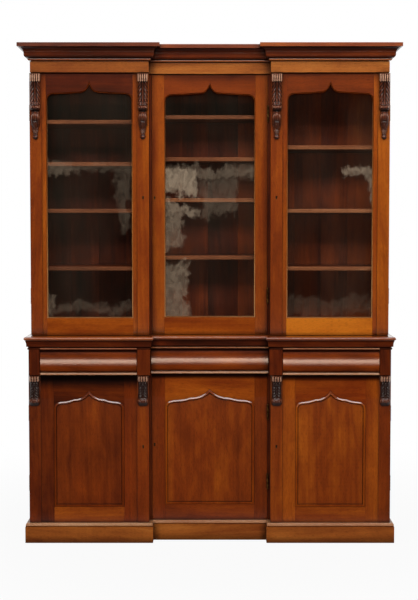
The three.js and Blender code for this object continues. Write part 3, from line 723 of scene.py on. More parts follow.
# Painted shadow of the cyma on the upper half of the bead.
bead_painted_shadow = np.where([z > (bead_foot + cyma_foot) / 2 for _, z in bead_section], PAINTED_SHADE_TONE, 0.0)

cornice_boards = runs(cornice_plan, frieze_section, CORNICE_TONES["frieze"], 2)
cornice_boards += runs(cornice_plan, bead_section, CORNICE_TONES["bead"], 1, bead_painted_shadow)
cornice_boards += runs(cornice_plan, cyma_section, CORNICE_TONES["cyma"], 0, cyma_sheen_and_shade)
cornice_boards += runs(cornice_plan, fillet_section, CORNICE_TONES["fillet"], 1)
piece("cornice_mouldings", cornice_boards, [polished, shining, golden], ["cornice"])
print("cornice:", len(cornice_boards), "mitred lengths")

# %% [markdown]
# ### The frame behind the cornice
#
# The mouldings are glued to a frame that is hidden behind them. A seat board goes round inside
# the foot, a second one and an upright wall close the back, and each glue block is a triangle seen
# from the side, cut to length along X.

# %% The softwood frame behind the mouldings
SEAT_TONES = (0.5, 0.6, 0.45, 0.55, 0.5, 0.6, 0.5)
BACK_TONES = {"seat": 0.5, "wall": 0.55}
GLUE_BLOCK = {"side": 0.030, "length": 0.080, "spacing": 0.26, "each_way": 3, "tone": 0.6}
seat_top = cornice_foot + CORNICE_BOARD
seat_section = rectangle(-CORNICE_SEAT, -CORNICE_BOARD, cornice_foot, seat_top)
frame_boards = runs(cornice_plan, seat_section, SEAT_TONES)
for part, inside, low, high in (("seat", CORNICE_SEAT, cornice_foot, seat_top),
                                ("wall", CORNICE_BOARD, seat_top, cornice_top)):
    half = cornice_plan[0] - inside
    outline = rectangle(-half, half, BACK_Y - inside, BACK_Y)
    frame_boards.append(board(slab(outline, "plan", low, high), "x", BACK_TONES[part]))
for x in np.arange(-GLUE_BLOCK["each_way"], GLUE_BLOCK["each_way"] + 1) * GLUE_BLOCK["spacing"]:
    depth = cornice_plan[2] - CORNICE_BOARD - (0 if abs(x) > cornice_plan[1] else RECESS_DEPTH)
    triangle = [(y_at(depth), seat_top), (y_at(depth - GLUE_BLOCK["side"]), seat_top),
                (y_at(depth), seat_top + GLUE_BLOCK["side"])]
    glued = slab(triangle, "side", x - GLUE_BLOCK["length"] / 2, x + GLUE_BLOCK["length"] / 2)
    frame_boards.append(board(glued, "x", GLUE_BLOCK["tone"]))
piece("cornice_frame", frame_boards, [pine], body="carcass")
print("cornice frame:", len(frame_boards), "boards and blocks")

# %% [markdown]
# ## The waist and the plinth
#
# The base top is one board whose front edge is a round nose, with a hollow moulding below it that
# hides where it sits on the carcass. The plinth is a frame of plain boards with a small ovolo on
# the upper edge. Both follow the breakfront, each on its own plan.

# %% The waist and the plinth
_, waist_right, waist_front, _, waist_foot, waist_top = edges_of("base_top")
WAIST_REACH = 0.016
WAIST_INSIDE = -0.060
BLOCK_OVERHANG = 0.0075
NOSE = {"height": 0.016, "step": 0.003, "rings": 15, "dull_rings": 4}
HOLLOW = {"height": 0.022, "from": 0.005, "reach": 0.011, "skirt": 0.005, "gap": 0.0001}
COCK_BEAD = {"height": 0.0075, "reach": 0.003, "inside": 0.001, "tone": 0.20}
WAIST_TONES = {
    "nose": 0.62,
    "hollow": (0.17, 0.19, 0.17, 0.18, 0.17, 0.22, 0.18),
    "apron": (0.10, 0.10, 0.10, 0.10, 0.10, 0.12, 0.10),
}

waist_plan = (waist_right - WAIST_REACH, RECESS - BLOCK_OVERHANG, BACK_Y - waist_front - WAIST_REACH)
nose_foot = waist_top - NOSE["height"]
hollow_top = nose_foot - NOSE["step"]
hollow_head = hollow_top - HOLLOW["gap"]
hollow_foot = hollow_top - HOLLOW["height"]
skirt_foot = hollow_foot - HOLLOW["skirt"]
apron_groove = waist_foot + COCK_BEAD["height"] + SOFT
apron_head = apron_groove + GROOVE["height"]

nose_rings = [(plan_corners(waist_plan, WAIST_REACH / 2), hollow_top)]
nose_rings += [(plan_corners(waist_plan, grow), z)
               for grow, z in half_round(WAIST_REACH / 2, WAIST_REACH, nose_foot, waist_top, NOSE["rings"])]
nose = stack(nose_rings, "plan")
nose_finish = np.zeros(len(nose[1]), int)
nose_finish[:NOSE["dull_rings"] * len(nose_rings[0][0])] = 1
hollow_section = [(WAIST_INSIDE, skirt_foot), (HOLLOW["from"], skirt_foot), (HOLLOW["from"], hollow_foot),
                  *arc(HOLLOW["from"], hollow_foot, HOLLOW["reach"], hollow_head, False)[1:],
                  (WAIST_INSIDE, hollow_head)]
apron_section = rounded([(WAIST_INSIDE, waist_foot), (0, waist_foot), (0, apron_groove),
                         (-GROOVE["depth"], apron_groove), (-GROOVE["depth"], apron_head), (0, apron_head),
                         (0, skirt_foot), (WAIST_INSIDE, skirt_foot)])
waist_boards = [board(nose, "x", WAIST_TONES["nose"], nose_finish)]
waist_boards += runs(waist_plan, hollow_section, WAIST_TONES["hollow"], 1)
waist_boards += runs(waist_plan, apron_section, WAIST_TONES["apron"], 1)
piece("base_top_board", waist_boards, [shining, dull], ["base_top"])

_, plinth_right, plinth_front, _, plinth_foot, plinth_top = edges_of("plinth")
PLINTH_REACH = 0.019
PLINTH_WALL = 0.044
FOOT_ROUND = 0.002
PLINTH_MOULD = {"height": 0.012, "step": 0.0015, "reach": 0.012}
PLINTH_TONES = {
    "face": (0.62, 0.63, 0.6, 0.66, 0.6, 0.62, 0.6),
    "mould": (0.56, 0.58, 0.5, 0.54, 0.5, 0.56, 0.5),
    "back": 0.4,
}

plinth_plan = (plinth_right - PLINTH_REACH, RECESS, BACK_Y - plinth_front - PLINTH_REACH)
plinth_inside = PLINTH_REACH - PLINTH_WALL
mould_foot = plinth_top - PLINTH_MOULD["height"]
mould_groove = mould_foot - GROOVE["height"]
plinth_section = [(plinth_inside, plinth_foot), (PLINTH_REACH - FOOT_ROUND, plinth_foot),
                  (PLINTH_REACH - SOFT, plinth_foot + SOFT), (PLINTH_REACH, plinth_foot + FOOT_ROUND),
                  (PLINTH_REACH, mould_groove - SOFT), (PLINTH_REACH - GROOVE["depth"], mould_groove),
                  (PLINTH_REACH - GROOVE["depth"], mould_foot), (plinth_inside, mould_foot)]
mould_section = [(plinth_inside, mould_foot),
                 *arc(PLINTH_REACH - PLINTH_MOULD["step"], mould_foot,
                      PLINTH_MOULD["reach"], plinth_top, False),
                 (plinth_inside, plinth_top)]
plinth_boards = runs(plinth_plan, plinth_section, PLINTH_TONES["face"], 1)
plinth_boards += runs(plinth_plan, mould_section, PLINTH_TONES["mould"], 2)
rail_half = plinth_plan[0] + plinth_inside
back_rail = rectangle(-rail_half, rail_half, BACK_Y - PLINTH_WALL, BACK_Y)
plinth_boards.append(board(slab(back_rail, "plan", plinth_foot, plinth_top), "x", PLINTH_TONES["back"]))
piece("plinth_boards", plinth_boards, [polished, plinth_wood, highlight_wood], ["plinth"])
print("waist:", len(waist_boards), "boards; plinth:", len(plinth_boards), "boards")

# %% [markdown]
# ## The ogee outline
#
# The heads of the glass and of the raised panels are one figure with two sets of measures: a rounded
# corner, a shoulder that rises a little, and a point in the middle where two curves meet. It could
# be drawn by hand, point by point. Here it is three quadratic curves, mirrored, so that a change
# of one rise changes the whole head.

# %% The ogee outline
GLASS_ARCH = {"corner": 0.167, "corner_rise": 0.035, "shoulder_rise": 0.008,
              "point": 0.206, "point_rise": 0.040}
PANEL_ARCH = {"corner": 0.27, "corner_rise": 0.038, "shoulder_rise": 0.012,
              "point": 0.44, "point_rise": 0.042}
POINT_CURVE = 1 / 3
CORNER_LIFT = 0.0005
SLOPE_BOW = 0.002
SLOPE_STEPS = 6


def ogee(centre, half, foot, peak, arch):
    """The closed outline, anticlockwise from its lower right corner: up the side, round the bend,
    along the slope, up to the point, and mirrored down the other side."""
    shoulder = peak - arch["point_rise"]
    corner_top = shoulder - arch["shoulder_rise"]
    spring = corner_top - arch["corner_rise"]
    corner, point = half * arch["corner"], half * arch["point"]
    bend = quadratic((half, spring), (half, corner_top), (half - corner, corner_top + CORNER_LIFT))
    top = quadratic((point, shoulder), (point * POINT_CURVE, shoulder), (0, peak))
    bow = ((half - corner + point) / 2, corner_top + SLOPE_BOW)
    slope = quadratic(bend[-1], bow, top[0], SLOPE_STEPS)[1:-1]
    right = np.concatenate([[(half, foot)], bend, slope, top])
    left = right[-2::-1] * (-1, 1)
    return np.concatenate([right, left]) + (centre, 0)


print("ogee:", len(ogee(0, 0.2, 0, 1, GLASS_ARCH)), "points")

# %% [markdown]
# ## Hinge rooms
#
# A butt hinge is let into the edge of the door, and its round barrel needs a hollow in the corner
# of the stile. The corner is therefore one list of points that has two shapes: softly rounded
# along most of the stile, and hollowed out round the barrel where a hinge sits.

# %% Hinge rooms
BARREL = 0.0045
BARREL_ROOM = 0.0049
BARREL_BEHIND = 0.0004
HINGE_LENGTH = 0.076
HINGE_INSET = 0.150
HINGE_END_ROOM = 0.0004
STEP = 0.00005
CORNER_POINTS = 7


def hinge_feet(z0, z1):
    """Where the two hinges of a door start."""
    return (z0 + HINGE_INSET, z1 - HINGE_INSET - HINGE_LENGTH)


def with_hollow(corners, centre, start, stop):
    """A section with all its corners softly rounded, and the same section with its first corner
    hollowed by an arc of the barrel's room between two angles."""
    plain = rounded(corners, EDGE, CORNER_POINTS - 1)
    hollowed = plain.copy()
    turn = np.linspace(start, stop, CORNER_POINTS)
    hollowed[:CORNER_POINTS] = np.array(centre) + BARREL_ROOM * np.stack([np.cos(turn), np.sin(turn)], -1)
    return plain, hollowed


def with_hinge_rooms(plain, hollowed, z0, z1):
    """Rings up a stile that change to the hollowed section beside each hinge."""
    rings = [(inset(plain, SOFT), z0), (plain, z0 + SOFT)]
    for foot in hinge_feet(z0, z1):
        low, high = foot - HINGE_END_ROOM, foot + HINGE_LENGTH + HINGE_END_ROOM
        rings += [(plain, low - STEP), (hollowed, low), (hollowed, high), (plain, high + STEP)]
    return rings + [(plain, z1 - SOFT), (inset(plain, SOFT), z1)]


print("hinge rooms: helpers ready")

# %% [markdown]
# ## Doors
#
# A framed door is two upright stiles with a bottom rail and a shaped head rail between them. On
# the side doors a thin pilaster strip is planted on each stile. A modelled slab with a hole in it
# would have the right outline, but one grain and no joints. Here each member is its own board, so
# the head rail runs across and the stiles run up, and the eye finds the joints by their tone.

# %% Door members
DOOR_BACK_STEP = 0.009
REBATE = 0.008
STICKING = 0.005
STICKING_DROP = 0.0008
RELIEF = 0.004
PILASTER = 0.057
# Above this height the cupboard doors' stiles take the finish with the painted shadow under the drawers'
# ledge.
SHEEN_LINE = 0.700
FINE = 0.0002
HEAD_SOFT = 0.0004
NEAR = 1e-6
QUARTER_STEPS = 7


def together(*shapes):
    """Several closed shapes that are cut from one board."""
    starts = np.cumsum([0] + [len(points) for points, _ in shapes])
    faces = [[start + i for i in face] for start, (_, fs) in zip(starts, shapes) for face in fs]
    return np.concatenate([points for points, _ in shapes]), faces


def stile(edge_x, way, width, y_back, field, z0, z1, glazed, hinged):
    """An upright carried along z. Its section runs in from the door's edge at edge_x, to the right
    where way is 1 and to the left where it is -1, and is stepped at the back to hold a pane."""
    lip, step = (width - STICKING, width - REBATE) if glazed else (width, width)
    corners = [(0, 0), (0, field), (lip, field)]
    corners += [(lip, DOOR_BACK_STEP), (step, DOOR_BACK_STEP), (step, 0)] if glazed else [(step, 0)]
    sections = with_hollow(corners, (0, -BARREL_BEHIND), BARREL_BEHIND / BARREL_ROOM, math.pi / 2)
    plain, hollowed = [np.column_stack([edge_x + way * s[:, 0], y_back - s[:, 1]]) for s in sections]
    rings = with_hinge_rooms(plain, hollowed if hinged else plain, z0, z1)
    if not glazed:
        rings.insert(-2, (plain, SHEEN_LINE))
    return stack(rings, "plan")


def finish_above(shape, height, number):
    """One finish for the faces whose middle lies above a height, and 0 for the rest."""
    points, faces = shape
    middles = points[np.array(faces[:-2]), 2].mean(axis=1)
    return np.append(np.where(middles > height, number, 0), [0, number])


def bottom_rail(x0, x1, y_back, field, z0, top, glazed):
    """The rail across the foot of a door; behind a pane it is lower at the back."""
    if not glazed:
        return slab(rectangle(y_back - field, y_back, z0, top), "side", x0, x1, FINE)
    gap = REBATE - STICKING
    front = rectangle(y_back - field, y_back - DOOR_BACK_STEP, z0, top - STICKING)
    back = rectangle(y_back - DOOR_BACK_STEP, y_back, z0, top - REBATE)
    return together(slab(front, "side", x0, x1, FINE), slab(back, "side", x0 - gap, x1 + gap, FINE))


def head_rail(opening, peak, y_back, field, z1, glazed):
    """The rail with the ogee cut into its lower edge: the arch is the upper part of the opening."""
    grown = inset(opening, -STICKING if glazed else 0)
    right = np.argmax(grown[:, 0] > grown[:, 0].max() - NEAR) + 1
    arch = grown[right:len(grown) - 1]
    x0, x1 = arch[:, 0].min(), arch[:, 0].max()
    outline = np.concatenate([arch, [(x0, z1), (x1, z1)]])
    back = DOOR_BACK_STEP if glazed else 0
    front = slab(outline, "front", y_back - back, y_back - field, HEAD_SOFT)
    if not glazed:
        return front
    gap = REBATE - STICKING
    behind = rectangle(x0 - gap, x1 + gap, peak + REBATE, z1)
    return together(front, slab(behind, "front", y_back, y_back - back, FINE))


def sticking(opening, y_back, field):
    """The ovolo round a pane: a closed section carried round the closed outline of the opening."""
    turn = np.linspace(0, math.pi / 2, QUARTER_STEPS)
    foot = field - STICKING_DROP - STICKING
    out = np.concatenate([STICKING * (1 - np.sin(turn)), [0, STICKING]])
    deep = np.concatenate([foot + STICKING * (1 - np.cos(turn)), [DOOR_BACK_STEP, DOOR_BACK_STEP]])
    grid = np.stack([np.insert(inset(opening, -e), 1, y_back - t, axis=1) for e, t in zip(out, deep)])
    rows, columns = grid.shape[:2]
    return grid.reshape(-1, 3), grid_faces(rows, columns, True, True)


print("doors: members ready")

# %% [markdown]
# ## Which board goes where
#
# The photograph shows that the boards differ: the outer stiles are a cooler brown, the bottom
# rails glow like honey, the cupboard doors are darker on the left than on the right. A tone of 0
# is nearly black-brown and 1 is gold. They are chosen board by board.
# Part of the difference from left to right is painted light: the tones make the left cupboard doors darker,
# and the right ones and the right glazed door's foot rail lighter, as light from the right would.

# %% Doors
DOOR_TONES = {
    "upper_left": {"stiles": (0.62, 0.64), "pilasters": (0.51, 0.65), "foot": 0.64, "head": 0.20},
    "upper_middle": {"stiles": (0.64, 0.54), "foot": 0.58, "head": 0.40},
    "upper_right": {"stiles": (0.61, 0.68), "pilasters": (0.50, 0.68), "foot": 0.92, "head": 0.40},
    "base_left": {"stiles": (0.34, 0.40), "pilasters": (0.31, 0.45), "foot": 0.58, "head": 0.28},
    "base_middle": {"stiles": (0.43, 0.42), "foot": 0.48, "head": 0.63},
    "base_right": {"stiles": (0.70, 0.64), "pilasters": (0.57, 0.49), "foot": 0.60, "head": 0.54},
}
# Painted light on the sticking: a painted highlight on its uprights and foot, painted shade along the arch.
STICKING_LIGHT_AND_SHADE = (0.78, -0.05)
STILE_WIDTHS = {"upper_side": 0.083, "upper_middle": 0.065, "base_side": 0.120, "base_middle": 0.064}
BOTTOM_RAILS = {"upper": 0.087, "base": 0.075}
HEAD_RAILS = {"upper": 0.051, "base": 0.076}


def spring_of(peak, arch):
    """The height at which an ogee leaves its upright sides."""
    return peak - arch["point_rise"] - arch["shoulder_rise"] - arch["corner_rise"]


def opening_of(storey, place):
    """The ogee outline of a door's opening, and the height of its point."""
    x0, x1, _, _, z0, z1 = edges_of(f"{storey}_door_{place}")
    kind = "middle" if place == "middle" else "side"
    half = (x1 - x0) / 2 - STILE_WIDTHS[f"{storey}_{kind}"]
    arch = GLASS_ARCH if storey == "upper" else PANEL_ARCH
    peak = z1 - HEAD_RAILS[storey]
    return ogee((x0 + x1) / 2, half, z0 + BOTTOM_RAILS[storey], peak, arch), peak


def door_frame(storey, place):
    """Stiles, rails, sticking and, on a side door, the two pilaster strips."""
    node = f"{storey}_door_{place}"
    x0, x1, y_front, y_back, z0, z1 = edges_of(node)
    glazed, middle = storey == "upper", place == "middle"
    width = STILE_WIDTHS[f"{storey}_{'middle' if middle else 'side'}"]
    field = y_back - y_front - (0 if middle else RELIEF)
    opening, peak = opening_of(storey, place)
    tones = DOOR_TONES[f"{storey}_{place}"]
    outer_is_left = place == "left"
    rail_in = width - (STICKING if glazed else 0)
    made = []
    for left, edge_x, way in ((True, x0, 1), (False, x1, -1)):
        hinged = not middle and left == outer_is_left
        tone = tones["stiles"][0 if left else 1]
        shape = stile(edge_x, way, width, y_back, field, z0, z1, glazed, hinged)
        made.append(board(shape, "z", tone, 0 if glazed else finish_above(shape, SHEEN_LINE, 1)))
        if not middle:
            strip = sorted_pair(edge_x, edge_x + way * PILASTER)
            section = rounded(rectangle(*strip, y_front, y_back - field))
            made.append(board(slab(section, "plan", z0, z1), "z", tones["pilasters"][0 if left else 1]))
    sill = z0 + BOTTOM_RAILS[storey]
    foot = bottom_rail(x0 + rail_in, x1 - rail_in, y_back, field, z0, sill, glazed)
    made.append(board(foot, "x", tones["foot"], 2 if glazed else 0))
    head = head_rail(opening, peak, y_back, field, z1, glazed)
    made.append(board(head, "x", tones["head"], 0 if glazed else 1))
    if glazed:
        shape = sticking(opening, y_back, field)
        # Painted highlight below the spring of the arch, painted shade above it.
        tone = np.where(shape[0][:, 2] > spring_of(peak, GLASS_ARCH), STICKING_LIGHT_AND_SHADE[1], STICKING_LIGHT_AND_SHADE[0])
        made.append(board(shape, "z", tone, 1))
    materials = [polished, sticking_highlight, foot_wood] if glazed else [door_wood, door_top]
    piece(f"{storey}_{place}_door_frame", made, materials, [node])


for storey in STOREYS:
    for place in PLACES:
        door_frame(storey, place)
print("doors: six frames")

# %% [markdown]
# ## Raised panels
#
# Each cupboard door holds a figured panel with a bead worked round its edge. Bevelling a flat
# shape would give a chamfer. Carrying a section round the ogee gives the real thing: up from the
# frame, over a round bead, down into a quirk, and out to the field.

# %% Raised panels
PANEL_TONES = {"left": 0.41, "middle": 0.51, "right": 0.57}
PANEL_BACK = 0.001
BEAD_START = 0.0004
BEAD_WIDTH = 0.0110
BEAD_RISE = 0.0042
BEAD_OUTSIDE = ((0.0, 0.0), (0.0003, 0.0016), (0.00582, 0.0041))
CREST_SHARE = 0.62
QUIRK = ((0.0002, 0.0024), (0.0018, 0.0024), (0.0024, 0.0013), (0.0032, 0.0008))
SHINING_ROWS = slice(2, 4)


def raised_panel(place):
    """Rings of the ogee outline moved inwards and forwards along the section of bead and quirk. The
    outside of the bead and the quirk are tables, and between them it is a quarter ellipse."""
    opening, peak = opening_of("base", place)
    _, _, y_front, y_back, _, _ = edges_of(f"base_door_{place}")
    field = y_back - y_front - (0 if place == "middle" else RELIEF)
    crest, end = BEAD_START + BEAD_WIDTH * CREST_SHARE, BEAD_START + BEAD_WIDTH
    turn = np.linspace(0, math.pi / 2, QUARTER_STEPS)
    section = [(BEAD_START, PANEL_BACK)]
    section += [(BEAD_START + across, field + rise) for across, rise in BEAD_OUTSIDE]
    section += zip(crest + (end - crest) * np.sin(turn), field + BEAD_RISE * np.cos(turn))
    section += [(end + across, field - drop) for across, drop in QUIRK]
    shape = stack([(inset(opening, e), y_back - t) for e, t in section], "front")
    spring = spring_of(peak, PANEL_ARCH) + PANEL_ARCH["corner_rise"] / 2
    finish = np.zeros((len(section) - 1, len(opening)), int)
    finish[1:-1] = 2
    finish[SHINING_ROWS, opening[:, 1] > spring] = 1
    made = [board(shape, "z", PANEL_TONES[place], np.append(finish, [0, 0]))]
    name = f"base_{place}_panel"
    piece(name, made, [figured, shining, dull], [f"raised_panel_{place}"])


for place in PLACES:
    raised_panel(place)
print("panels: three")

# %% [markdown]
# ## Carcasses, backs and shelves
#
# Behind the doors the joinery is plain: ends, two dividers, a top and a bottom, all of solid
# boards, and a back of upright planks. The shelves are boards with a rounded front edge. The
# inside was only stained, and it is toned darker as well, a painted shade for the dim inside of
# the cupboards. The front edges of the shelves have worn paler than the rest.

# %% Carcass boards
BOARD = 0.022
SLIP = 0.010
BACK_BOARD = 0.012
MIDDLE_DOOR = 0.024
JOINT = 0.0003
DOOR_GAP = 0.0008
EDGE_BACK = 0.0006
# Painted light: the back planks are toned lighter the further right they stand.
BACK_LIGHT_DRIFT = 0.19
BACK_SPREAD = 0.05
PLANKS = {"count": 12, "sway": 0.012, "soft": 0.0014}
CARCASS_TONES = {
    "upper_end": 0.44, "upper_board": 0.40, "upper_back": 0.465, "shelf": 0.45, "shelf_lip": 0.48,
    "base_end": 0.36, "base_board": 0.42, "base_back": 0.40, "outer_block": 0.29, "inner_block": 0.25,
    "divider": 0.46, "guide": 0.5,
}
back_room = BACK_BOARD + JOINT


def end_board(node, way, z0, z1, front, hinge_span):
    """A side of a carcass, with rooms for the hinge barrels in its front corner."""
    x_out = edges_of(node)[1 if way > 0 else 0]
    corners = [(0, front), (BOARD, front), (BOARD, 0), (0, 0)]
    sections = with_hollow(corners, (0, front + BARREL_BEHIND), -math.pi / 2, -BARREL_BEHIND / BARREL_ROOM)
    plain, hollowed = [np.column_stack([x_out - way * s[:, 0], BACK_Y - s[:, 1]]) for s in sections]
    rings = with_hinge_rooms(plain, hollowed, *hinge_span)
    rings[0], rings[1] = (rings[0][0], z0), (rings[1][0], z0 + SOFT)
    rings[-2], rings[-1] = (rings[-2][0], z1 - SOFT), (rings[-1][0], z1)
    return stack(rings, "plan")


def stop_plane(depth):
    """The depth of the plane that the middle door closes against."""
    return depth + MIDDLE_DOOR + DOOR_GAP - RECESS_DEPTH


def divider_section(way, depth):
    """Plan of a divider and of the slip in front of it that the middle door closes against."""
    plane = stop_plane(depth)
    corners = [(RECESS + BOARD, back_room), (RECESS + BOARD, depth), (RECESS, depth), (RECESS, plane),
               (RECESS - SLIP, plane), (RECESS - SLIP, back_room)]
    return rounded([(way * x, BACK_Y - d) for x, d in corners])


def divider(way, depth, z0, z1):
    """The divider's slab. What stands in front of the middle door was polished, and is finish 1."""
    outline = divider_section(way, depth)
    shape = slab(outline, "plan", z0, z1)
    shown = np.minimum(outline[:, 1], np.roll(outline[:, 1], -1)) < y_at(stop_plane(depth)) - SOFT
    finish = np.append(np.tile(np.where(shown, 1, 0), len(shape[1]) // len(outline)), [0, 0])
    return board(shape, "z", CARCASS_TONES["divider"], finish)


def flat_board(half, depth, z0, z1):
    """A board housed between the ends, stepped back in the middle as the piece is."""
    corners = [(-half, back_room), (-half, depth), (-RECESS, depth), (-RECESS, depth - RECESS_DEPTH),
               (RECESS, depth - RECESS_DEPTH), (RECESS, depth), (half, depth), (half, back_room)]
    return slab(rounded([(x, BACK_Y - d) for x, d in corners]), "plan", z0, z1)


def planks(storey):
    """Upright back planks with soft edges, so that the joints show as fine dark lines. The outer
    face, the first end of the slab, was never stained."""
    x0, x1, y0, y1, z0, z1 = edges_of(f"{storey}_back")
    count, sway = PLANKS["count"], PLANKS["sway"]
    joints = x0 + (x1 - x0) * np.linspace(0, 1, count + 1)
    joints[1:-1] += rng.uniform(-sway, sway, count - 1)
    made = []
    for a, b in zip(joints, joints[1:]):
        shape = slab(rectangle(a, b, z0, z1), "front", y1, y0, PLANKS["soft"])
        finish = np.zeros(len(shape[1]), int)
        finish[-2] = 1
        # Painted light: lighter the further right the plank stands.
        tone = CARCASS_TONES[f"{storey}_back"] + BACK_LIGHT_DRIFT * (a + b) / 2 + rng.normal(0, BACK_SPREAD)
        made.append(board(shape, "z", tone, finish))
    piece(f"{storey}_back_planks", made, [inside_wood, pine], [f"{storey}_back"])


_, upper_half, upper_face, _, upper_foot, upper_head = edges_of("upper_end_right")
_, base_half, block_front, _, base_foot, base_head = edges_of("base_end_right")
upper_front = BACK_Y - upper_face
base_front = BACK_Y - edges_of("base_door_right")[3] - DOOR_GAP
upper_doors = edges_of("upper_door_left")[4:]
base_doors = edges_of("base_door_left")[4:]
print("carcass: ends", round(upper_half, 3), round(base_half, 3),
      "fronts", round(upper_front, 3), round(base_front, 3))

# %% [markdown]
# ### The upper carcass
#
# Two ends, two dividers, a top, a bottom and a back. Each board is a closed shape of its own, with
# its own run of the grain and its own tone.

# %% Upper carcass
for place, way in (("left", -1), ("right", 1)):
    node = f"upper_end_{place}"
    shape = end_board(node, way, upper_foot, upper_head, upper_front, upper_doors)
    boards = [board(shape, "z", CARCASS_TONES["upper_end"])]
    piece(f"{node}_board", boards, [end_wood], [node])

inner = [divider(way, upper_front, upper_foot, upper_head) for way in (-1, 1)]
for z in (upper_foot, upper_head - BOARD):
    shape = flat_board(upper_half - BOARD, upper_front - EDGE_BACK, z, z + BOARD)
    inner.append(board(shape, "x", CARCASS_TONES["upper_board"]))
piece("upper_dividers", inner, [inside_wood, polished], ["upper_inner_frame"])
planks("upper")
print("upper carcass: ends, dividers, top, bottom and back")

# %% [markdown]
# ### The base carcass
#
# The base is built in the same way, with a bottom and a rail board under the drawers. Beside each
# drawer front stands a block, and behind the block a guide keeps the drawer straight.

# %% Base carcass
BLOCK_WIDTH = 0.053
BLOCK_INSET = 0.005
GUIDE_HEIGHT = 0.030
GUIDE_START = 0.030
RAIL = 0.012
BLOCK_GAP = 0.002
drawer_foot = edges_of("drawer_box_left")[4]
rail_top = drawer_foot - JOINT
drawer_inner = edges_of("drawer_front_right")[0] - BLOCK_GAP
block_inside = base_half - BLOCK_INSET - BLOCK_WIDTH
block_depth = BACK_Y - block_front


def upright_block(x_from, x_to, d0, d1, z0, z1):
    """A plain block between two X values, two depths and two heights."""
    outline = rounded(rectangle(*sorted_pair(x_from, x_to), BACK_Y - d1, BACK_Y - d0))
    return slab(outline, "plan", z0, z1)


def block_and_guide(way, block_span, guide_span, guide_foot, tone, finish):
    """The block beside a drawer's front and the guide behind it, each between two distances from
    the middle of the piece."""
    block = upright_block(*(way * x for x in block_span), base_front, block_depth, drawer_foot, base_head)
    guide = upright_block(*(way * x for x in guide_span), GUIDE_START, base_front, guide_foot,
                          rail_top + GUIDE_HEIGHT)
    return [board(block, "z", tone, finish), board(guide, "y", CARCASS_TONES["guide"])]


for place, way in (("left", -1), ("right", 1)):
    node = f"base_end_{place}"
    shape = end_board(node, way, base_foot, base_head, base_front, base_doors)
    boards = [board(shape, "z", CARCASS_TONES["base_end"])]
    boards += block_and_guide(way, (block_inside, base_half - BLOCK_INSET), (block_inside, base_half - BOARD),
                              drawer_foot, CARCASS_TONES["outer_block"], 1)
    piece(f"{node}_boards", boards, [end_wood, dull], [node])

inner = []
for way in (-1, 1):
    inner.append(divider(way, base_front, base_foot, base_head))
    inner += block_and_guide(way, (RECESS - BLOCK_OVERHANG, drawer_inner), (RECESS + BOARD, drawer_inner),
                             rail_top, CARCASS_TONES["inner_block"], 2)
for z0, z1 in ((base_foot, base_foot + BOARD), (rail_top - RAIL, rail_top)):
    shape = flat_board(base_half - BOARD, base_front - EDGE_BACK, z0, z1)
    inner.append(board(shape, "x", CARCASS_TONES["base_board"]))
piece("base_dividers", inner, [inside_wood, polished, dull], ["base_inner_frame"])
planks("base")
print("base carcass: ends with drawer blocks, dividers, bottom, rail and back")

# %% [markdown]
# ### The shelves
#
# A shelf is a plain board with a lip on its front edge. The lip is a section whose two front
# corners are round, carried along the shelf.

# %% Shelves
SHELF_LIP = 0.012
LIP_ROUND = (0.0045, EDGE, EDGE, 0.0045)
LIP_STEPS = 5
LIP_DRIFT = 0.10
shelf_nodes = sorted(name for name in frame["nodes"] if name.startswith("shelf_"))
for node in shelf_nodes:
    x0, x1, y0, y1, z0, z1 = edges_of(node)
    section = rounded(rectangle(y0 + SHELF_LIP, y1, z0, z1))
    lip = rounded(rectangle(y0, y0 + SHELF_LIP, z0, z1), LIP_ROUND, LIP_STEPS)
    boards = [board(slab(section, "side", x0, x1), "x", CARCASS_TONES["shelf"])]
    lip_tone = CARCASS_TONES["shelf_lip"] + LIP_DRIFT * (x0 + x1) / 2
    boards.append(board(slab(lip, "side", x0, x1), "x", lip_tone, 1))
    piece(f"{node}_board", boards, [inside_wood, shelf_edge], [node])
print("shelves:", len(shelf_nodes))

# %% [markdown]
# ## Drawers
#
# The three drawers have cushion fronts: a bead, a long swelling of figured wood, and a ledge below
# that casts the shadow over the doors, where a painted shadow on the doors deepens it. The section
# is carried across the whole width of the drawer.
# Behind the front is a plain box of thin sides with a floor let into them.

# %% Drawers
LIP = {"start": 0.0005, "height": 0.0095, "nose": 0.003, "lean": 0.0026, "round": 0.0008}
LIP_FALL = {"front": 0.0006, "back": 0.0002}
TOP_BEAD = {"height": 0.005, "reach": 0.005, "steps": 9}
CUSHION_DEPTH = 0.014
CUSHION_QUIRK = 0.003
BELLY = {"power": 3.2, "steps": 41, "shine": 0.22}
LEDGE_TONE = 0.0
DRAWER_TONES = {"left": 0.40, "middle": 0.42, "right": 0.48}
FRONT_SOFT = 0.0010
BOX = {"wall": 0.012, "soft": 0.0015, "back_drop": 0.008, "floor_foot": 0.001, "floor_top": 0.006}
BOX_TONES = {"side": 0.6, "end": 0.55, "floor": 0.5}


def swell(valley, low, high, reach, count, power=2.0):
    """Half of a rounded outline whose two halves, each raised to the power, add up to one. A power
    of 2 is an ellipse, and a higher one has a flatter belly and quicker shoulders."""
    turn = np.linspace(-math.pi / 2, math.pi / 2, count)
    up = np.sign(turn) * np.abs(np.sin(turn)) ** (2 / power)
    out = np.cos(turn) ** (2 / power)
    return list(zip(valley - reach * out, (low + high) / 2 + (high - low) / 2 * up))


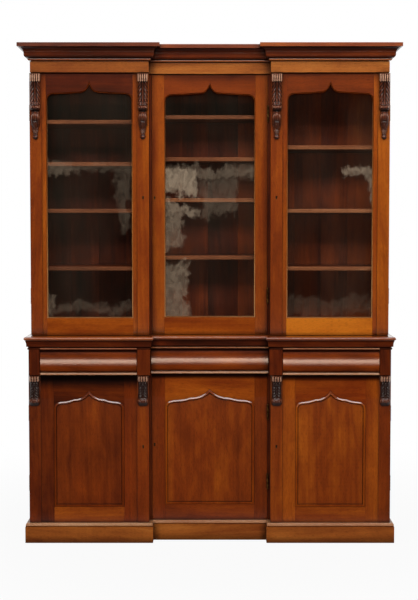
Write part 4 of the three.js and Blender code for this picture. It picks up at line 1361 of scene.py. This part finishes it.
def cushion_section(y_front, y_back, z0, z1):
    """Depth and height points: foot, ledge, quirk, a flat-bellied swelling, quirk, bead. The second
    list says how much lighter each point is, and the third which finish it has: the shining middle
    of the swelling, its edges with the bead, or the ledge."""
    valley = y_front + CUSHION_DEPTH
    ledge_foot = z0 + LIP["start"]
    ledge_top = ledge_foot + LIP["height"]
    lean = y_front + LIP["lean"]
    bead_low = z1 - TOP_BEAD["height"]
    points = [(y_back, z0), (valley, z0)]
    points += [(valley, ledge_foot), (y_front + LIP["round"], ledge_foot)]
    points += [(y_front, ledge_foot + LIP["round"]), (y_front, ledge_foot + LIP["nose"])]
    points += [(lean, ledge_top - LIP_FALL["front"]), (lean + LIP["round"], ledge_top)]
    points += [(valley, ledge_top + LIP_FALL["back"])]
    tones = [LEDGE_TONE] * len(points)
    belly = swell(valley, ledge_top + CUSHION_QUIRK, bead_low - CUSHION_QUIRK, CUSHION_DEPTH,
                  BELLY["steps"], BELLY["power"])
    # Painted shade: the swelling grows darker towards the quirks at its edges.
    tones += [PAINTED_SHADE_TONE * (y - y_front) / CUSHION_DEPTH for y, _ in belly]
    bead = swell(valley, bead_low, z1, TOP_BEAD["reach"], TOP_BEAD["steps"])
    tones += [0.0] * (len(bead) + 1)
    section = points + belly + bead + [(y_back, z1)]
    heights = np.array([z for _, z in section])
    shoulder = np.abs(heights - (ledge_top + bead_low) / 2) > (bead_low - ledge_top) * BELLY["shine"]
    finish = np.where(shoulder, 1, 0)
    finish[:len(points)] = 2
    return section, tones, finish


def drawer_front(place):
    """The cushion section carried across the front."""
    node = f"drawer_front_{place}"
    x0, x1, y0, y1, z0, z1 = edges_of(node)
    section, lighter, finish = cushion_section(y0, y1, z0, z1)
    shape = slab(section, "side", x0, x1, FRONT_SOFT)
    rings = len(shape[0]) // len(section)
    tones = DRAWER_TONES[place] + np.tile(lighter, rings)
    front = [board(shape, "x", tones, np.append(np.tile(finish, rings - 1), [0, 0]))]
    piece(f"{place}_cushion_front", front, [cushion_wood, cushion_edge, highlight_wood], [node])


def drawer_box(place):
    """Four thin walls, of which the back one is lower, and a floor let in between them."""
    node = f"drawer_box_{place}"
    x0, x1, y0, y1, z0, z1 = edges_of(node)
    wall, soft, back_top = BOX["wall"], BOX["soft"], z1 - BOX["back_drop"]
    in0, in1 = x0 + wall, x1 - wall
    boards = [board(slab(rectangle(a, b, y0, y1), "plan", z0, z1, soft), "y", BOX_TONES["side"])
              for a, b in ((x0, in0), (in1, x1))]
    boards += [board(slab(rectangle(in0, in1, a, b), "plan", z0, top, soft), "x", BOX_TONES["end"])
               for a, b, top in ((y0, y0 + wall, z1), (y1 - wall, y1, back_top))]
    floor = rectangle(in0, in1, y0 + wall, y1 - wall)
    floor = slab(floor, "plan", z0 + BOX["floor_foot"], z0 + BOX["floor_top"])
    boards.append(board(floor, "x", BOX_TONES["floor"]))
    piece(f"{place}_drawer_box", boards, [pine], [node])


for place in PLACES:
    drawer_front(place)
    drawer_box(place)
print("drawers: three")

# %% [markdown]
# ### Beads over the drawers
#
# Under the waist a small half-round bead lies over each drawer. It belongs to the carcass, so it
# stays in place when the drawer is pulled out.

# %% Beads over the drawers
beads = []
for place in PLACES:
    x0, x1 = edges_of(f"drawer_front_{place}")[:2]
    plane = y_at(waist_plan[2] - (RECESS_DEPTH if place == "middle" else 0))
    bead_top = waist_foot + COCK_BEAD["height"]
    bulge = [(plane - out, z) for out, z in half_round(0, COCK_BEAD["reach"], waist_foot, bead_top)]
    section = [(plane + COCK_BEAD["inside"], waist_foot), *bulge, (plane + COCK_BEAD["inside"], bead_top)]
    beads.append(board(slab(section, "side", x0, x1), "x", COCK_BEAD["tone"]))
piece("drawer_beads", beads, [highlight_wood], body="carcass")
print("beads over the drawers:", len(beads))

# %% [markdown]
# ## Old glass
#
# Hand-made panes are never quite flat or quite clean. A refracting glass shader would be physical,
# but it costs a lot of light and time for a pane of 3 mm. So the pane is a nearly clear surface
# that lets the dark inside show, with a faint trace of old dust. Its milky patches are painted
# reflections of the room, which stay on the glass from every side. Each patch is a box whose
# edges noise has pushed out of true.

# %% Old glass
# Painted reflections of the room on each pane: boxes of x0, x1, z0, z1 and a strength.
PAINTED_REFLECTIONS = {
    "left": ((-0.90, -0.62, 1.786, 1.834, 0.085), (-0.62, -0.30, 1.800, 1.830, 0.05),
             (-0.440, -0.39, 1.50, 1.80, 0.042), (-0.90, -0.765, 1.13, 1.21, 0.11),
             (-0.90, -0.30, 1.115, 1.150, 0.05)),
    "middle": ((-0.30, 0.30, 1.765, 1.815, 0.10), (-0.30, -0.060, 1.690, 1.80, 0.32),
               (-0.30, -0.060, 1.60, 1.64, 0.20), (-0.30, -0.120, 1.42, 1.61, 0.14),
               (-0.30, -0.100, 1.05, 1.340, 0.16), (-0.04, 0.13, 1.58, 1.76, 0.06)),
    "right": ((0.660, 0.90, 1.775, 1.815, 0.21), (0.775, 0.90, 1.52, 1.78, 0.20),
              (0.30, 0.90, 1.10, 1.18, 0.03)),
}
PANE_ROOM = 0.0004
REFLECTION_EDGE = 0.016
SWAY = {"scales": (5.0, 1.0, 4.0), "reach": (0.16, 0.0, 0.12)}
FRAY = {"scales": (34.0, 1.0, 26.0), "reach": (0.11, 0.0, 0.10)}
STREAKS = {"scales": (34.0, 1.0, 22.0), "detail": 5.0, "distortion": 1.0}
STREAK_STEP = (0.34, 0.62, 0.52, 1.0)
DUST = {"scales": (3.0, 3.0, 1.5), "detail": 3.0}
DUST_STEP = (0.35, 0.75, 0.002, 0.016)
RIPPLE = {"scales": (6.0, 6.0, 2.0), "detail": 2.0}
RIPPLE_BUMP = (0.004, 0.25)
# The milky colour is that of the painted reflections and the dust.
REFLECTION_FILM = {"Base Color": linear(178, 160, 138), "Roughness": 0.08, "Coat Weight": 0.6,
        "Coat Roughness": 0.02, "Coat IOR": 1.5}


def reflection_patch(f, split, patch):
    """The strength of a patch inside its box and nothing outside it, with soft edges: the product of
    a fall across and a fall upwards."""
    x0, x1, z0, z1, strength = patch
    across = f.math("ABSOLUTE", f.math("SUBTRACT", split[0], (x0 + x1) / 2))
    up = f.math("ABSOLUTE", f.math("SUBTRACT", split[2], (z0 + z1) / 2))
    wide, high = (x1 - x0) / 2, (z1 - z0) / 2
    fall = f.remap(across, wide - REFLECTION_EDGE, wide + REFLECTION_EDGE, strength, 0.0)
    return f.math("MULTIPLY", fall, f.remap(up, high - REFLECTION_EDGE, high + REFLECTION_EDGE, 1.0, 0.0))


def old_glass(place):
    """A nearly clear pane whose milky coat at each place is the strongest painted reflection there, streaked
    by noise, over a trace of dust.
    """
    f = Finish(f"old_glass_{place}")
    where = f.place()
    pushed = where
    for wave in (SWAY, FRAY):
        inputs = {"Vector": f.stretch(where, wave["scales"]), "Scale": 1.0, "Detail": 3.0}
        middle = f.node("VectorMath", {0: f.node("TexNoise", inputs, output=1), 1: (0.5, 0.5, 0.5)},
                        operation="SUBTRACT")
        pushed = f.node("VectorMath", {0: middle, 1: wave["reach"], 2: pushed}, operation="MULTIPLY_ADD")
    split = f.split(pushed)
    # The strongest painted reflection at each place.
    reflections = None
    for patch in PAINTED_REFLECTIONS[place]:
        step = reflection_patch(f, split, patch)
        reflections = step if reflections is None else f.math("MAXIMUM", reflections, step)
    streaks = f.remap(f.noise(where, **STREAKS), *STREAK_STEP)
    dust = f.remap(f.noise(where, **DUST), *DUST_STEP)
    f.shade({"Alpha": f.math("ADD", dust, f.math("MULTIPLY", reflections, streaks)), **REFLECTION_FILM})
    f.bump(f.noise(where, **RIPPLE), *RIPPLE_BUMP)
    return f.material


for place in PLACES:
    pane = frame["nodes"][f"glass_{place}"]
    pane.data.materials.clear()
    pane.data.materials.append(old_glass(place))
print("glass: three panes")

# %% [markdown]
# ### Beads behind the panes
#
# Each pane is held from behind by four strips in the rebate: two uprights over the full height,
# and a foot and a head between them.

# %% Beads behind the panes
for place in PLACES:
    opening, peak = opening_of("upper", place)
    x0, x1 = opening[:, 0].min() - REBATE, opening[:, 0].max() + REBATE
    z0, z1 = opening[:, 1].min() - REBATE, peak + REBATE
    y0, y1 = edges_of(f"glass_{place}")[3] + PANE_ROOM, edges_of(f"upper_door_{place}")[3] - PANE_ROOM
    width = REBATE - PANE_ROOM
    strips = {
        "left": (rectangle(x0, x0 + width, z0, z1), "z"),
        "right": (rectangle(x1 - width, x1, z0, z1), "z"),
        "foot": (rectangle(x0 + width, x1 - width, z0, z0 + width), "x"),
        "head": (rectangle(x0 + width, x1 - width, z1 - width, z1), "x"),
    }
    beads = [board(slab(outline, "front", y1, y0, EDGE), axis) for outline, axis in strips.values()]
    piece(f"{place}_glazing_beads", beads, [polished], body=f"{place}_glazed_door")
print("glazing beads: three sets of four")

# %% [markdown]
# ## Carved corbels
#
# The corbels are carved from a solid block, so a height field suits them: one depth for each place
# across and down the block. Domes, reeds and ribs are added to it as formulas of the two
# directions. A cavity map comes from the same field: where the surface lies lower than its own
# blurred copy, old wax and dust have gathered, and where it is higher it has been rubbed.

# %% Height fields for carving
CORBEL_ROWS = 220
CORBEL_COLUMNS = 60
BLUR_ROUNDS = 14
CAVITY_DEPTH = 0.0030
BACK_TONE = 0.4


def smooth_between(places, values, at):
    """Values at places joined by curves that are level at each place."""
    places, values = np.array(places), np.array(values)
    i = np.clip(np.searchsorted(places, at, side="right") - 1, 0, len(places) - 2)
    t = np.clip((at - places[i]) / (places[i + 1] - places[i]), 0, 1)
    t = t * t * (3 - 2 * t)
    return values[i] * (1 - t) + values[i + 1] * t


def window(places, at):
    """Rises from 0 to 1 between the first two places and falls back between the last two."""
    return np.interp(at, places, [0, 1, 1, 0])


def ridge(at, middle, wide):
    """A soft line: e to the minus square of the distance from its middle, measured in widths."""
    return np.exp(-((at - middle) / wide) ** 2)


def dome(u, v, u0, v0, wide, high, power=0.5):
    """A rounded boss: one minus the squared distance from its middle, raised to a power."""
    inside = 1 - ((u - u0) / wide) ** 2 - ((v - v0) / high) ** 2
    return np.clip(inside, 0, None) ** power


def blurred(field, rounds):
    """The field averaged with its neighbours several times."""
    for _ in range(rounds):
        padded = np.pad(field, 1, mode="edge")
        field = (padded[:-2, 1:-1] + padded[2:, 1:-1] + padded[1:-1, :-2] + padded[1:-1, 2:] + 4 * field) / 8
    return field


def relief(x, z, proud, y_back):
    """A closed carving: the front is a height field, the back a flat copy of the same grid."""
    rows, columns = x.shape
    front = np.stack([x, y_back - proud, z], -1).reshape(-1, 3)
    back = np.stack([x, np.full_like(x, y_back), z], -1).reshape(-1, 3)
    number = np.arange(rows * columns).reshape(rows, columns)
    rim = np.concatenate([number[0, :-1], number[:-1, -1], number[-1, :0:-1], number[:0:-1, 0]])
    after = np.roll(rim, -1)
    size = rows * columns
    sides = np.stack([rim, after, after + size, rim + size], -1).tolist()
    faces = grid_faces(rows, columns)
    behind = [[i + size for i in face] for face in faces]
    return np.concatenate([front, back]), faces + behind + sides


def cavity(proud):
    """Half for level places, less in hollows and more on high points."""
    lift = proud - blurred(proud, BLUR_ROUNDS)
    return np.clip(0.5 + lift / CAVITY_DEPTH, 0, 1)


print("carving: helpers ready")

# %% [markdown]
# ### The shapes of the corbels
#
# Each corbel is a table: half widths and depths in millimetres at places down the block, where 0
# is the top and 1 the foot, and then the sizes of its reeds, ribs, veins, roll and eyes.

# %% Corbel shapes
UPPER_CORBEL = {
    "lobes": 2.5, "scallop": 0.030, "scallop_window": (0, 0.06, 0.12, 0.30), "reeds_end": 0.104, "tip": 0.052,
    "side_power": 3.2, "side_share": 0.25, "limits": (0.002, 0.0355),
    "width_at": (0, 0.10, 0.13, 0.30, 0.46, 0.50, 0.545, 0.58, 0.66, 0.76, 0.85, 0.915, 0.935, 0.965, 1.0),
    "width": (26, 26, 23.5, 25, 23, 24, 23, 17, 21, 20, 14, 9.5, 9.5, 12, 7),
    "depth_at": (0, 0.04, 0.095, 0.125, 0.20, 0.32, 0.42, 0.48, 0.515, 0.55, 0.575, 0.64, 0.74, 0.84, 0.92,
                 0.94, 0.965, 1.0),
    "depth": (33, 34, 31, 22, 16, 13, 15, 20, 26, 22, 11, 17, 16, 12, 8, 8, 12, 5),
    # These two rows hold rubbing and painted light: high on the reeds at the top, lower below them.
    "light_and_wear_at": (0, 0.02, 0.09, 0.12, 0.45, 0.495, 0.525, 0.55, 0.60, 0.66, 0.72, 0.90, 0.94, 1.0),
    "light_and_wear": (1.2, 1.3, 1.25, 0.72, 0.95, 0.85, 0.85, 0.4, 1.0, 1.05, 0.65, 1.0, 0.9, 0.6),
    "leaf_window": (0.11, 0.14, 0.44, 0.485), "ribs": ((1.0, 0, 0.13), (-0.8, 0.30, 0.10), (0.7, 0.62, 0.14)),
    "veins": {"depth": 0.0013, "down": 92, "across": 11, "middle": 0.3, "spread": 1.0},
    "roll": {"at": 0.515, "high": 0.034, "depth": 0.004},
    "eye": {"at": (0.66, 0.515), "stretch": (1.1, 13), "waves": 13, "fade": 2.2, "depth": 0.0016},
}
LOWER_CORBEL = {
    "lobes": 2.0, "scallop": 0.05, "scallop_window": (0, 0.10, 0.20, 0.40), "reeds_end": 0.17, "tip": 0.085,
    "side_power": 4, "side_share": 0.3, "limits": (0.002, 0.0315),
    "width_at": (0, 0.16, 0.24, 0.50, 0.74, 0.86, 0.95, 1.0),
    "width": (25, 25, 22.5, 22, 23.5, 25, 23, 17),
    "depth_at": (0, 0.05, 0.14, 0.22, 0.40, 0.60, 0.74, 0.82, 0.88, 0.94, 1.0),
    "depth": (30, 31.5, 28, 17, 11, 9.5, 13, 19, 20, 13, 5),
    # These two rows hold rubbing and painted light: high on the reeds at the top, darkest in the throat.
    "light_and_wear_at": (0, 0.04, 0.15, 0.20, 0.70, 0.76, 0.84, 0.90, 1.0),
    "light_and_wear": (1.1, 1.3, 1.2, 0.5, 0.5, 0.85, 0.95, 0.7, 0.4),
    "leaf_window": (0.2, 0.26, 0.70, 0.76), "ribs": ((1.0, 0, 0.16), (0.8, 0.66, 0.16)),
    "veins": {"depth": 0.0010, "down": 70, "across": 9, "middle": 1.0, "spread": 0.0},
    "roll": {"at": 0.85, "high": 0.055, "depth": 0.0030},
    "eye": {"at": (0.55, 0.86), "stretch": (0.9, 5), "waves": 16, "fade": 2.5, "depth": 0.0012},
}
MILLIMETRES = 1000
LOBE_POWER = 0.8
REED_DEPTH = 0.0060
TIP_POWER = 0.35
RIB_DEPTH = 0.0030
WAIST_CUT = {"at": 0.566, "wide": 0.012, "depth": 0.0035}
ROLL_DIP = {"wide": 0.25, "depth": 0.0012}
PETALS = ((0, 0.66, 0.62, 0.085, 0.0075), (0.62, 0.70, 0.42, 0.085, 0.0052), (0, 0.775, 0.62, 0.07, 0.0062))
NOTCHES = {"window": (0.60, 0.62, 0.82, 0.84), "across": 7.0, "down": 9, "start": 0.6, "power": 6,
           "depth": 0.0016}
NECK = {"window": (0.85, 0.87, 0.92, 0.93), "start": 0.85, "waves": 340, "depth": 0.0012}


def corbel_field(u, v, form):
    """Depth (m), half width (m), and a value of rubbing and painted light, high on the reeds at the
    top and lower below them. u runs across from -1 to 1 and v down from 0 to 1. The body is a depth
    down the block times a fall towards its sides. On it come scalloped reeds, a leaf of ribs and
    veins, and a roll with two eyes, which are cosines of the distance."""
    a = np.abs(u)
    veins, roll, eye = form["veins"], form["roll"], form["eye"]
    lobes = np.abs(np.sin((u + 1) * form["lobes"] * math.pi)) ** LOBE_POWER
    drop = v - form["scallop"] * (lobes - 0.5) * window(form["scallop_window"], v)
    wide = smooth_between(form["width_at"], form["width"], v) / MILLIMETRES
    deep = smooth_between(form["depth_at"], form["depth"], drop) / MILLIMETRES
    round_off = np.sqrt(np.clip(1 - a ** form["side_power"], 0, 1))
    field = deep * (form["side_share"] + (1 - form["side_share"]) * round_off)
    tips = dome(0, v, 0, form["tip"], 1, form["tip"], TIP_POWER)
    field += REED_DEPTH * (lobes - 1.0) * (v < form["reeds_end"]) * tips
    ribs = sum(height * ridge(a, middle, width) for height, middle, width in form["ribs"])
    vein = np.cos(v * veins["down"] - a * veins["across"]) * (veins["middle"] + veins["spread"] * a)
    field += window(form["leaf_window"], v) * (RIB_DEPTH * ribs + veins["depth"] * vein)
    field += roll["depth"] * dome(0, v, 0, roll["at"], 1, roll["high"])
    far = np.hypot((a - eye["at"][0]) * eye["stretch"][0], (v - eye["at"][1]) * eye["stretch"][1])
    field += eye["depth"] * np.cos(far * eye["waves"]) * np.exp(-far * eye["fade"])
    return field, wide, np.interp(drop, form["light_and_wear_at"], form["light_and_wear"])


def upper_details(u, v):
    """What only the tall corbel has: a dip in its roll, a waist, petals with notches, and a neck."""
    a = np.abs(u)
    roll = dome(0, v, 0, UPPER_CORBEL["roll"]["at"], 1, UPPER_CORBEL["roll"]["high"])
    field = -ROLL_DIP["depth"] * roll * ridge(a, 0, ROLL_DIP["wide"])
    field -= WAIST_CUT["depth"] * ridge(v, WAIST_CUT["at"], WAIST_CUT["wide"])
    field += np.max([dome(a, v, u0, v0, wide, high) * depth for u0, v0, wide, high, depth in PETALS], axis=0)
    wave = np.abs(np.cos(u * NOTCHES["across"] + (v - NOTCHES["start"]) * NOTCHES["down"]))
    field -= window(NOTCHES["window"], v) * NOTCHES["depth"] * wave ** NOTCHES["power"]
    return field + window(NECK["window"], v) * NECK["depth"] * np.cos((v - NECK["start"]) * NECK["waves"])


def corbel(node):
    """The height field of a corbel set on the pilaster in the place of its construction node."""
    x0, x1, _, y_back, z0, z1 = edges_of(node)
    upper = node.startswith("upper")
    form = UPPER_CORBEL if upper else LOWER_CORBEL
    v, u = np.meshgrid(np.linspace(0, 1, CORBEL_ROWS), np.linspace(-1, 1, CORBEL_COLUMNS), indexing="ij")
    field, wide, worn = corbel_field(u, v, form)
    proud = np.clip(field + upper_details(u, v) if upper else field, *form["limits"])
    x = (x0 + x1) / 2 + u * wide
    z = z1 - v * (z1 - z0)
    # Cavity times the rows of rubbing and painted light.
    lit_and_rubbed_tone = np.clip(cavity(proud) * worn, 0, 1)
    tone = np.concatenate([lit_and_rubbed_tone.ravel(), np.full(proud.size, BACK_TONE)])
    made = board(relief(x, z, proud, y_back), "z", tone)
    piece(f"{node}_carving", [made], [carved], [node])


print("corbels: a tall and a short form ready")

# %% [markdown]
# ### The corbels in place
#
# The carved wood takes its colour from the cavity map times rows of rubbing and painted light:
# nearly black in the hollows, brown on level places, and pale where it was rubbed and where a
# painted highlight lies on the reeds. Where it is pale it is smoother too.

# %% Carved corbels
# The palest stop is partly a painted highlight on the reeds.
CARVED_COLOURS = [(0.0, linear(14, 5, 2)), (0.35, linear(40, 15, 6)), (0.62, linear(92, 42, 20)),
                  (1.0, linear(184, 144, 120))]
CARVED_LAYERS = (({"scales": (12.0, 260.0, 260.0), "detail": 2.0}, 0.10),
                 ({"scales": (40.0, 60.0, 60.0), "detail": 3.0}, 0.22))
CARVED_GLOSS = (0.2, 0.8, 0.62, 0.28)
CARVED_SHINE = {"Specular IOR Level": 0.10, "Coat Weight": 0.55, "Coat Roughness": 0.16, "Coat IOR": 1.5}
TOOL_MARKS = {"scales": (70.0, 420.0, 420.0), "detail": 3.0}
TOOL_BUMP = (0.0003, 0.5)


def carved_mahogany():
    """Dark in the hollows, brown on level places and pale on the high points, by the tone of each."""
    f = Finish("mahogany_carved")
    # The tone holds the cavity times rubbing and painted light.
    place, worn = grain_place(f), board_tone(f)
    parts = [(f.noise(place, **layer), weight) for layer, weight in CARVED_LAYERS]
    level = f.math("ADD", worn, add_parts(f, parts))
    f.shade({"Base Color": f.ramp(level, CARVED_COLOURS), "Roughness": f.remap(worn, *CARVED_GLOSS)})
    f.shade(CARVED_SHINE)
    f.bump(f.noise(place, **TOOL_MARKS), *TOOL_BUMP)
    return f.material


carved = carved_mahogany()
corbel_nodes = sorted(name for name in frame["nodes"] if "_corbel_" in name)
for node in corbel_nodes:
    corbel(node)
print("corbels:", len(corbel_nodes))

# %% [markdown]
# ## Brass hinges
#
# Each door hangs on two brass butts. A butt is a pin through five knuckles and two leaves, one
# screwed to the carcass and one to the door. The knuckles are one turned section carried up the
# pin, with a fine groove at each joint. Old brass is not yellow: patches of brown tarnish lie over it.

# %% Brass hinges
KNUCKLES = 5
KNUCKLE = {"cap": 0.0012, "groove": 0.0009, "gap": 0.0001, "round": 0.0008}
LEAF = 0.0018
LEAF_SOFT = {"plan": 0.0004, "face": 0.0003}
LEAF_GAP = 0.0001
LEAF_PROUD = 0.0004
SCREW = 0.0032
SCREW_RISE = 0.0003
SCREW_TURN = 1.45
SCREW_INSET = 0.006
SCREW_SHARES = (0.16, 0.5, 0.84)
SCREW_RINGS = 5
SCREW_SIDES = 16
BRASS_COLOURS = [(0.3, linear(38, 25, 14)), (0.5, linear(84, 60, 30)), (0.75, linear(146, 112, 62))]
STAIN = {"scales": (90.0, 90.0, 60.0), "detail": 4.0}
STAIN_GLOSS = (0.3, 0.7, 0.62, 0.34)
SCRATCHES = {"scales": (900.0, 900.0, 60.0), "detail": 1.0}
SCRATCH_BUMP = (0.0001, 0.4)


def brass():
    """Brown tarnish over worn brass, mixed by noise."""
    f = Finish("old_brass")
    where = f.place()
    stain = f.noise(where, **STAIN)
    f.shade({"Base Color": f.ramp(stain, BRASS_COLOURS), "Metallic": 1.0})
    f.shade({"Roughness": f.remap(stain, *STAIN_GLOSS)})
    f.bump(f.noise(where, **SCRATCHES), *SCRATCH_BUMP)
    return f.material


old_brass = brass()


def turned(section, x, y, sides=20):
    """A section of (radius, height) turned round an upright axis, with a flat face on each end."""
    turn = np.linspace(0, 2 * math.pi, sides, endpoint=False)
    rings = [(np.column_stack([x + r * np.cos(turn), y + r * np.sin(turn)]), z) for r, z in section]
    return stack(rings, "plan")


def knuckles(x, y, foot):
    """Five short barrels on one pin, with a groove between each two and a rounded tip."""
    size = HINGE_LENGTH / KNUCKLES
    neck, gap, bend = BARREL - KNUCKLE["groove"], KNUCKLE["gap"], KNUCKLE["round"]
    section = [(KNUCKLE["cap"], foot)]
    for i in range(KNUCKLES):
        low, high = foot + i * size, foot + (i + 1) * size
        section += [(neck, low + gap), (BARREL, low + bend), (BARREL, high - bend), (neck, high - gap)]
    return turned(section + [(KNUCKLE["cap"], foot + HINGE_LENGTH)], x, y)


def screw_head(centre, axis, way):
    """A low dome turned round an axis: its radius is a cosine and its height a sine of one angle."""
    turn = np.linspace(0, SCREW_TURN, SCREW_RINGS)
    points, faces = turned(list(zip(SCREW * np.cos(turn), SCREW_RISE * np.sin(turn))), 0, 0, SCREW_SIDES)
    order = [2, 0, 1] if axis == "x" else [1, 2, 0]
    return points[:, order] * way + np.array(centre), faces


def leaf(plan, z0, z1, screw_at, axis, way):
    """A thin plate, and three screws on the face that looks along the axis."""
    x0, x1, y0, y1 = plan
    outline = rounded(rectangle(*plan), LEAF_SOFT["plan"])
    made = [board(slab(outline, "plan", z0, z1, LEAF_SOFT["face"]))]
    for share in SCREW_SHARES:
        z = z0 + (z1 - z0) * share
        centre = (screw_at, y1 if way > 0 else y0, z) if axis == "y" else (x1 if way > 0 else x0, screw_at, z)
        made.append(board(screw_head(centre, axis, way)))
    return made


def hinge(storey, place, level):
    """The fixed half, with the pin, and the leaf that moves with the door."""
    node = f"{storey}_{place}_hinge_{level}"
    x0, x1, y0, y1, z0, z1 = edges_of(node)
    pin_x, pin_y = (x1 - BARREL if place == "right" else x0 + BARREL), y0 + BARREL
    fixed = [board(knuckles(pin_x, pin_y, z0))]
    if place == "middle":
        edge = edges_of(f"{storey}_door_middle")[1]
        fixed += leaf((x1 - LEAF, x1, pin_y, y1), z0, z1, y1 - SCREW_INSET, "x", -1)
        moving = leaf((edge - LEAF, edge + LEAF_PROUD, pin_y, y1), z0, z1, y1 - SCREW_INSET, "x", 1)
    else:
        inner_x, way = (x0, 1) if place == "right" else (x1, -1)
        span, screw_x = sorted_pair(pin_x, inner_x), inner_x + way * SCREW_INSET
        fixed += leaf((*span, pin_y, pin_y + LEAF), z0, z1, screw_x, "y", -1)
        moving = leaf((*span, pin_y - LEAF, pin_y - LEAF_GAP), z0, z1, screw_x, "y", 1)
    piece(f"{node}_brass", fixed, [old_brass], [node])
    body = frame["nodes"][f"{storey}_door_{place}"]["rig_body"]
    piece(f"{node}_leaf", moving, [old_brass], body=body)


for storey in STOREYS:
    for place in PLACES:
        for level in ("lower", "upper"):
            hinge(storey, place, level)
print("hinges: twelve")

# %% [markdown]
# ## Locks and shelf pegs
#
# Every door has a lock let in flush behind its stile, and a keyhole in front with a thin brass rim.
# The hole could be cut into the stile, but the eye only sees a dark shape with a bright edge. So
# the rim is a small closed section carried round the keyhole, and the hole is a dark inlay in it,
# painted shade where the shadow inside a real hole would be.

# %% Locks
KEYHOLE = {"radius": 0.0034, "turn": 0.9, "steps": 17, "foot": 0.0100, "half_foot": 0.0022}
KEYHOLE_HEIGHTS = {"upper": 1.670, "base": 0.470}
MIDDLE_KEY_INSET = 0.0125
RIM = ((0, -0.002), (0, 0.0004), (0.00052, 0.0007), (0.0013, 0.0003), (0.0013, -0.002))
INLAY = {"behind": 0.001, "proud": 0.0001, "soft": 0.00005}
LOCK_PLATE = {"half": 0.028, "high": 0.036, "round": 0.002, "margin": 0.001, "behind": 0.001, "proud": 0.0003}
# Painted shade: the colours of the keyhole's dark.
HOLE_SHADE_COLOURS = [(0.3, linear(8, 5, 4)), (0.8, linear(34, 24, 18))]
INLAY_DUST = {"scales": (400.0, 400.0, 400.0), "detail": 2.0}
INLAY_SHINE = {"Roughness": 0.9, "Specular IOR Level": 0.1}


def keyhole_outline(x, z):
    """Anticlockwise: most of a circle, then straight down to a flat foot."""
    turn = np.linspace(-KEYHOLE["turn"], math.pi + KEYHOLE["turn"], KEYHOLE["steps"])
    ring = np.stack([np.cos(turn), np.sin(turn)], -1) * KEYHOLE["radius"]
    foot = [(-KEYHOLE["half_foot"], -KEYHOLE["foot"]), (KEYHOLE["half_foot"], -KEYHOLE["foot"])]
    return np.concatenate([ring, foot]) + (x, z)


def painted_keyhole_shade():
    """Painted shade of a keyhole: nearly black, with a little dust."""
    f = Finish("keyhole_painted_shade")
    f.shade({"Base Color": f.ramp(f.noise(f.place(), **INLAY_DUST), HOLE_SHADE_COLOURS), **INLAY_SHINE})
    return f.material


dark = painted_keyhole_shade()


def lock(storey, place):
    """Rim, dark inlay and the flush plate on the back of the stile."""
    node = f"{storey}_door_{place}"
    x0, x1, y_front, y_back, _, _ = edges_of(node)
    x = {"left": x1 - PILASTER / 2, "middle": x0 + MIDDLE_KEY_INSET, "right": x0 + PILASTER / 2}[place]
    z = KEYHOLE_HEIGHTS[storey]
    outline = keyhole_outline(x, z)
    grid = np.stack([np.insert(inset(outline, -out), 1, y_front - proud, axis=1) for out, proud in RIM])
    ring = (grid.reshape(-1, 3), grid_faces(*grid.shape[:2], True, True))
    hole = slab(outline, "front", y_front + INLAY["behind"], y_front - INLAY["proud"], INLAY["soft"])
    half, high = LOCK_PLATE["half"], LOCK_PLATE["high"]
    plate = rounded(rectangle(x - half, x + half, z - high, z + high), LOCK_PLATE["round"])
    if place == "middle":
        plate = np.maximum(plate, (x0 + LOCK_PLATE["margin"], 0))
    back = slab(plate, "front", y_back - LOCK_PLATE["behind"], y_back + LOCK_PLATE["proud"], FINE)
    boards = [board(ring), board(hole, finish=1), board(back)]
    piece(f"{storey}_{place}_lock", boards, [old_brass, dark], body=frame["nodes"][node]["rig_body"])


for storey in STOREYS:
    for place in PLACES:
        lock(storey, place)
print("locks: six")

# %% [markdown]
# ### Shelf pegs
#
# Four brass pegs carry each shelf. A peg is a small section turned round an axis along X.

# %% Shelf pegs
PEG = {"radius": 0.003, "reach": 0.011, "inset": 0.045, "tip": 0.001, "sides": 12}
peg_section = [(PEG["radius"], 0), (PEG["radius"], PEG["reach"] - PEG["tip"]),
               (PEG["radius"] - PEG["tip"], PEG["reach"])]
peg_points, peg_faces = turned(peg_section, 0, 0, PEG["sides"])
pegs = []
for node in shelf_nodes:
    x0, x1, y0, y1, z0, _ = edges_of(node)
    for wall, way in ((x0, 1), (x1, -1)):
        for y in (y0 + PEG["inset"], y1 - PEG["inset"]):
            placed = peg_points[:, [2, 0, 1]] * way + (wall, y, z0 - PEG["radius"])
            pegs.append(board((placed, peg_faces), "x"))
piece("shelf_pegs", pegs, [old_brass], body="carcass")
print("shelf pegs:", len(pegs))
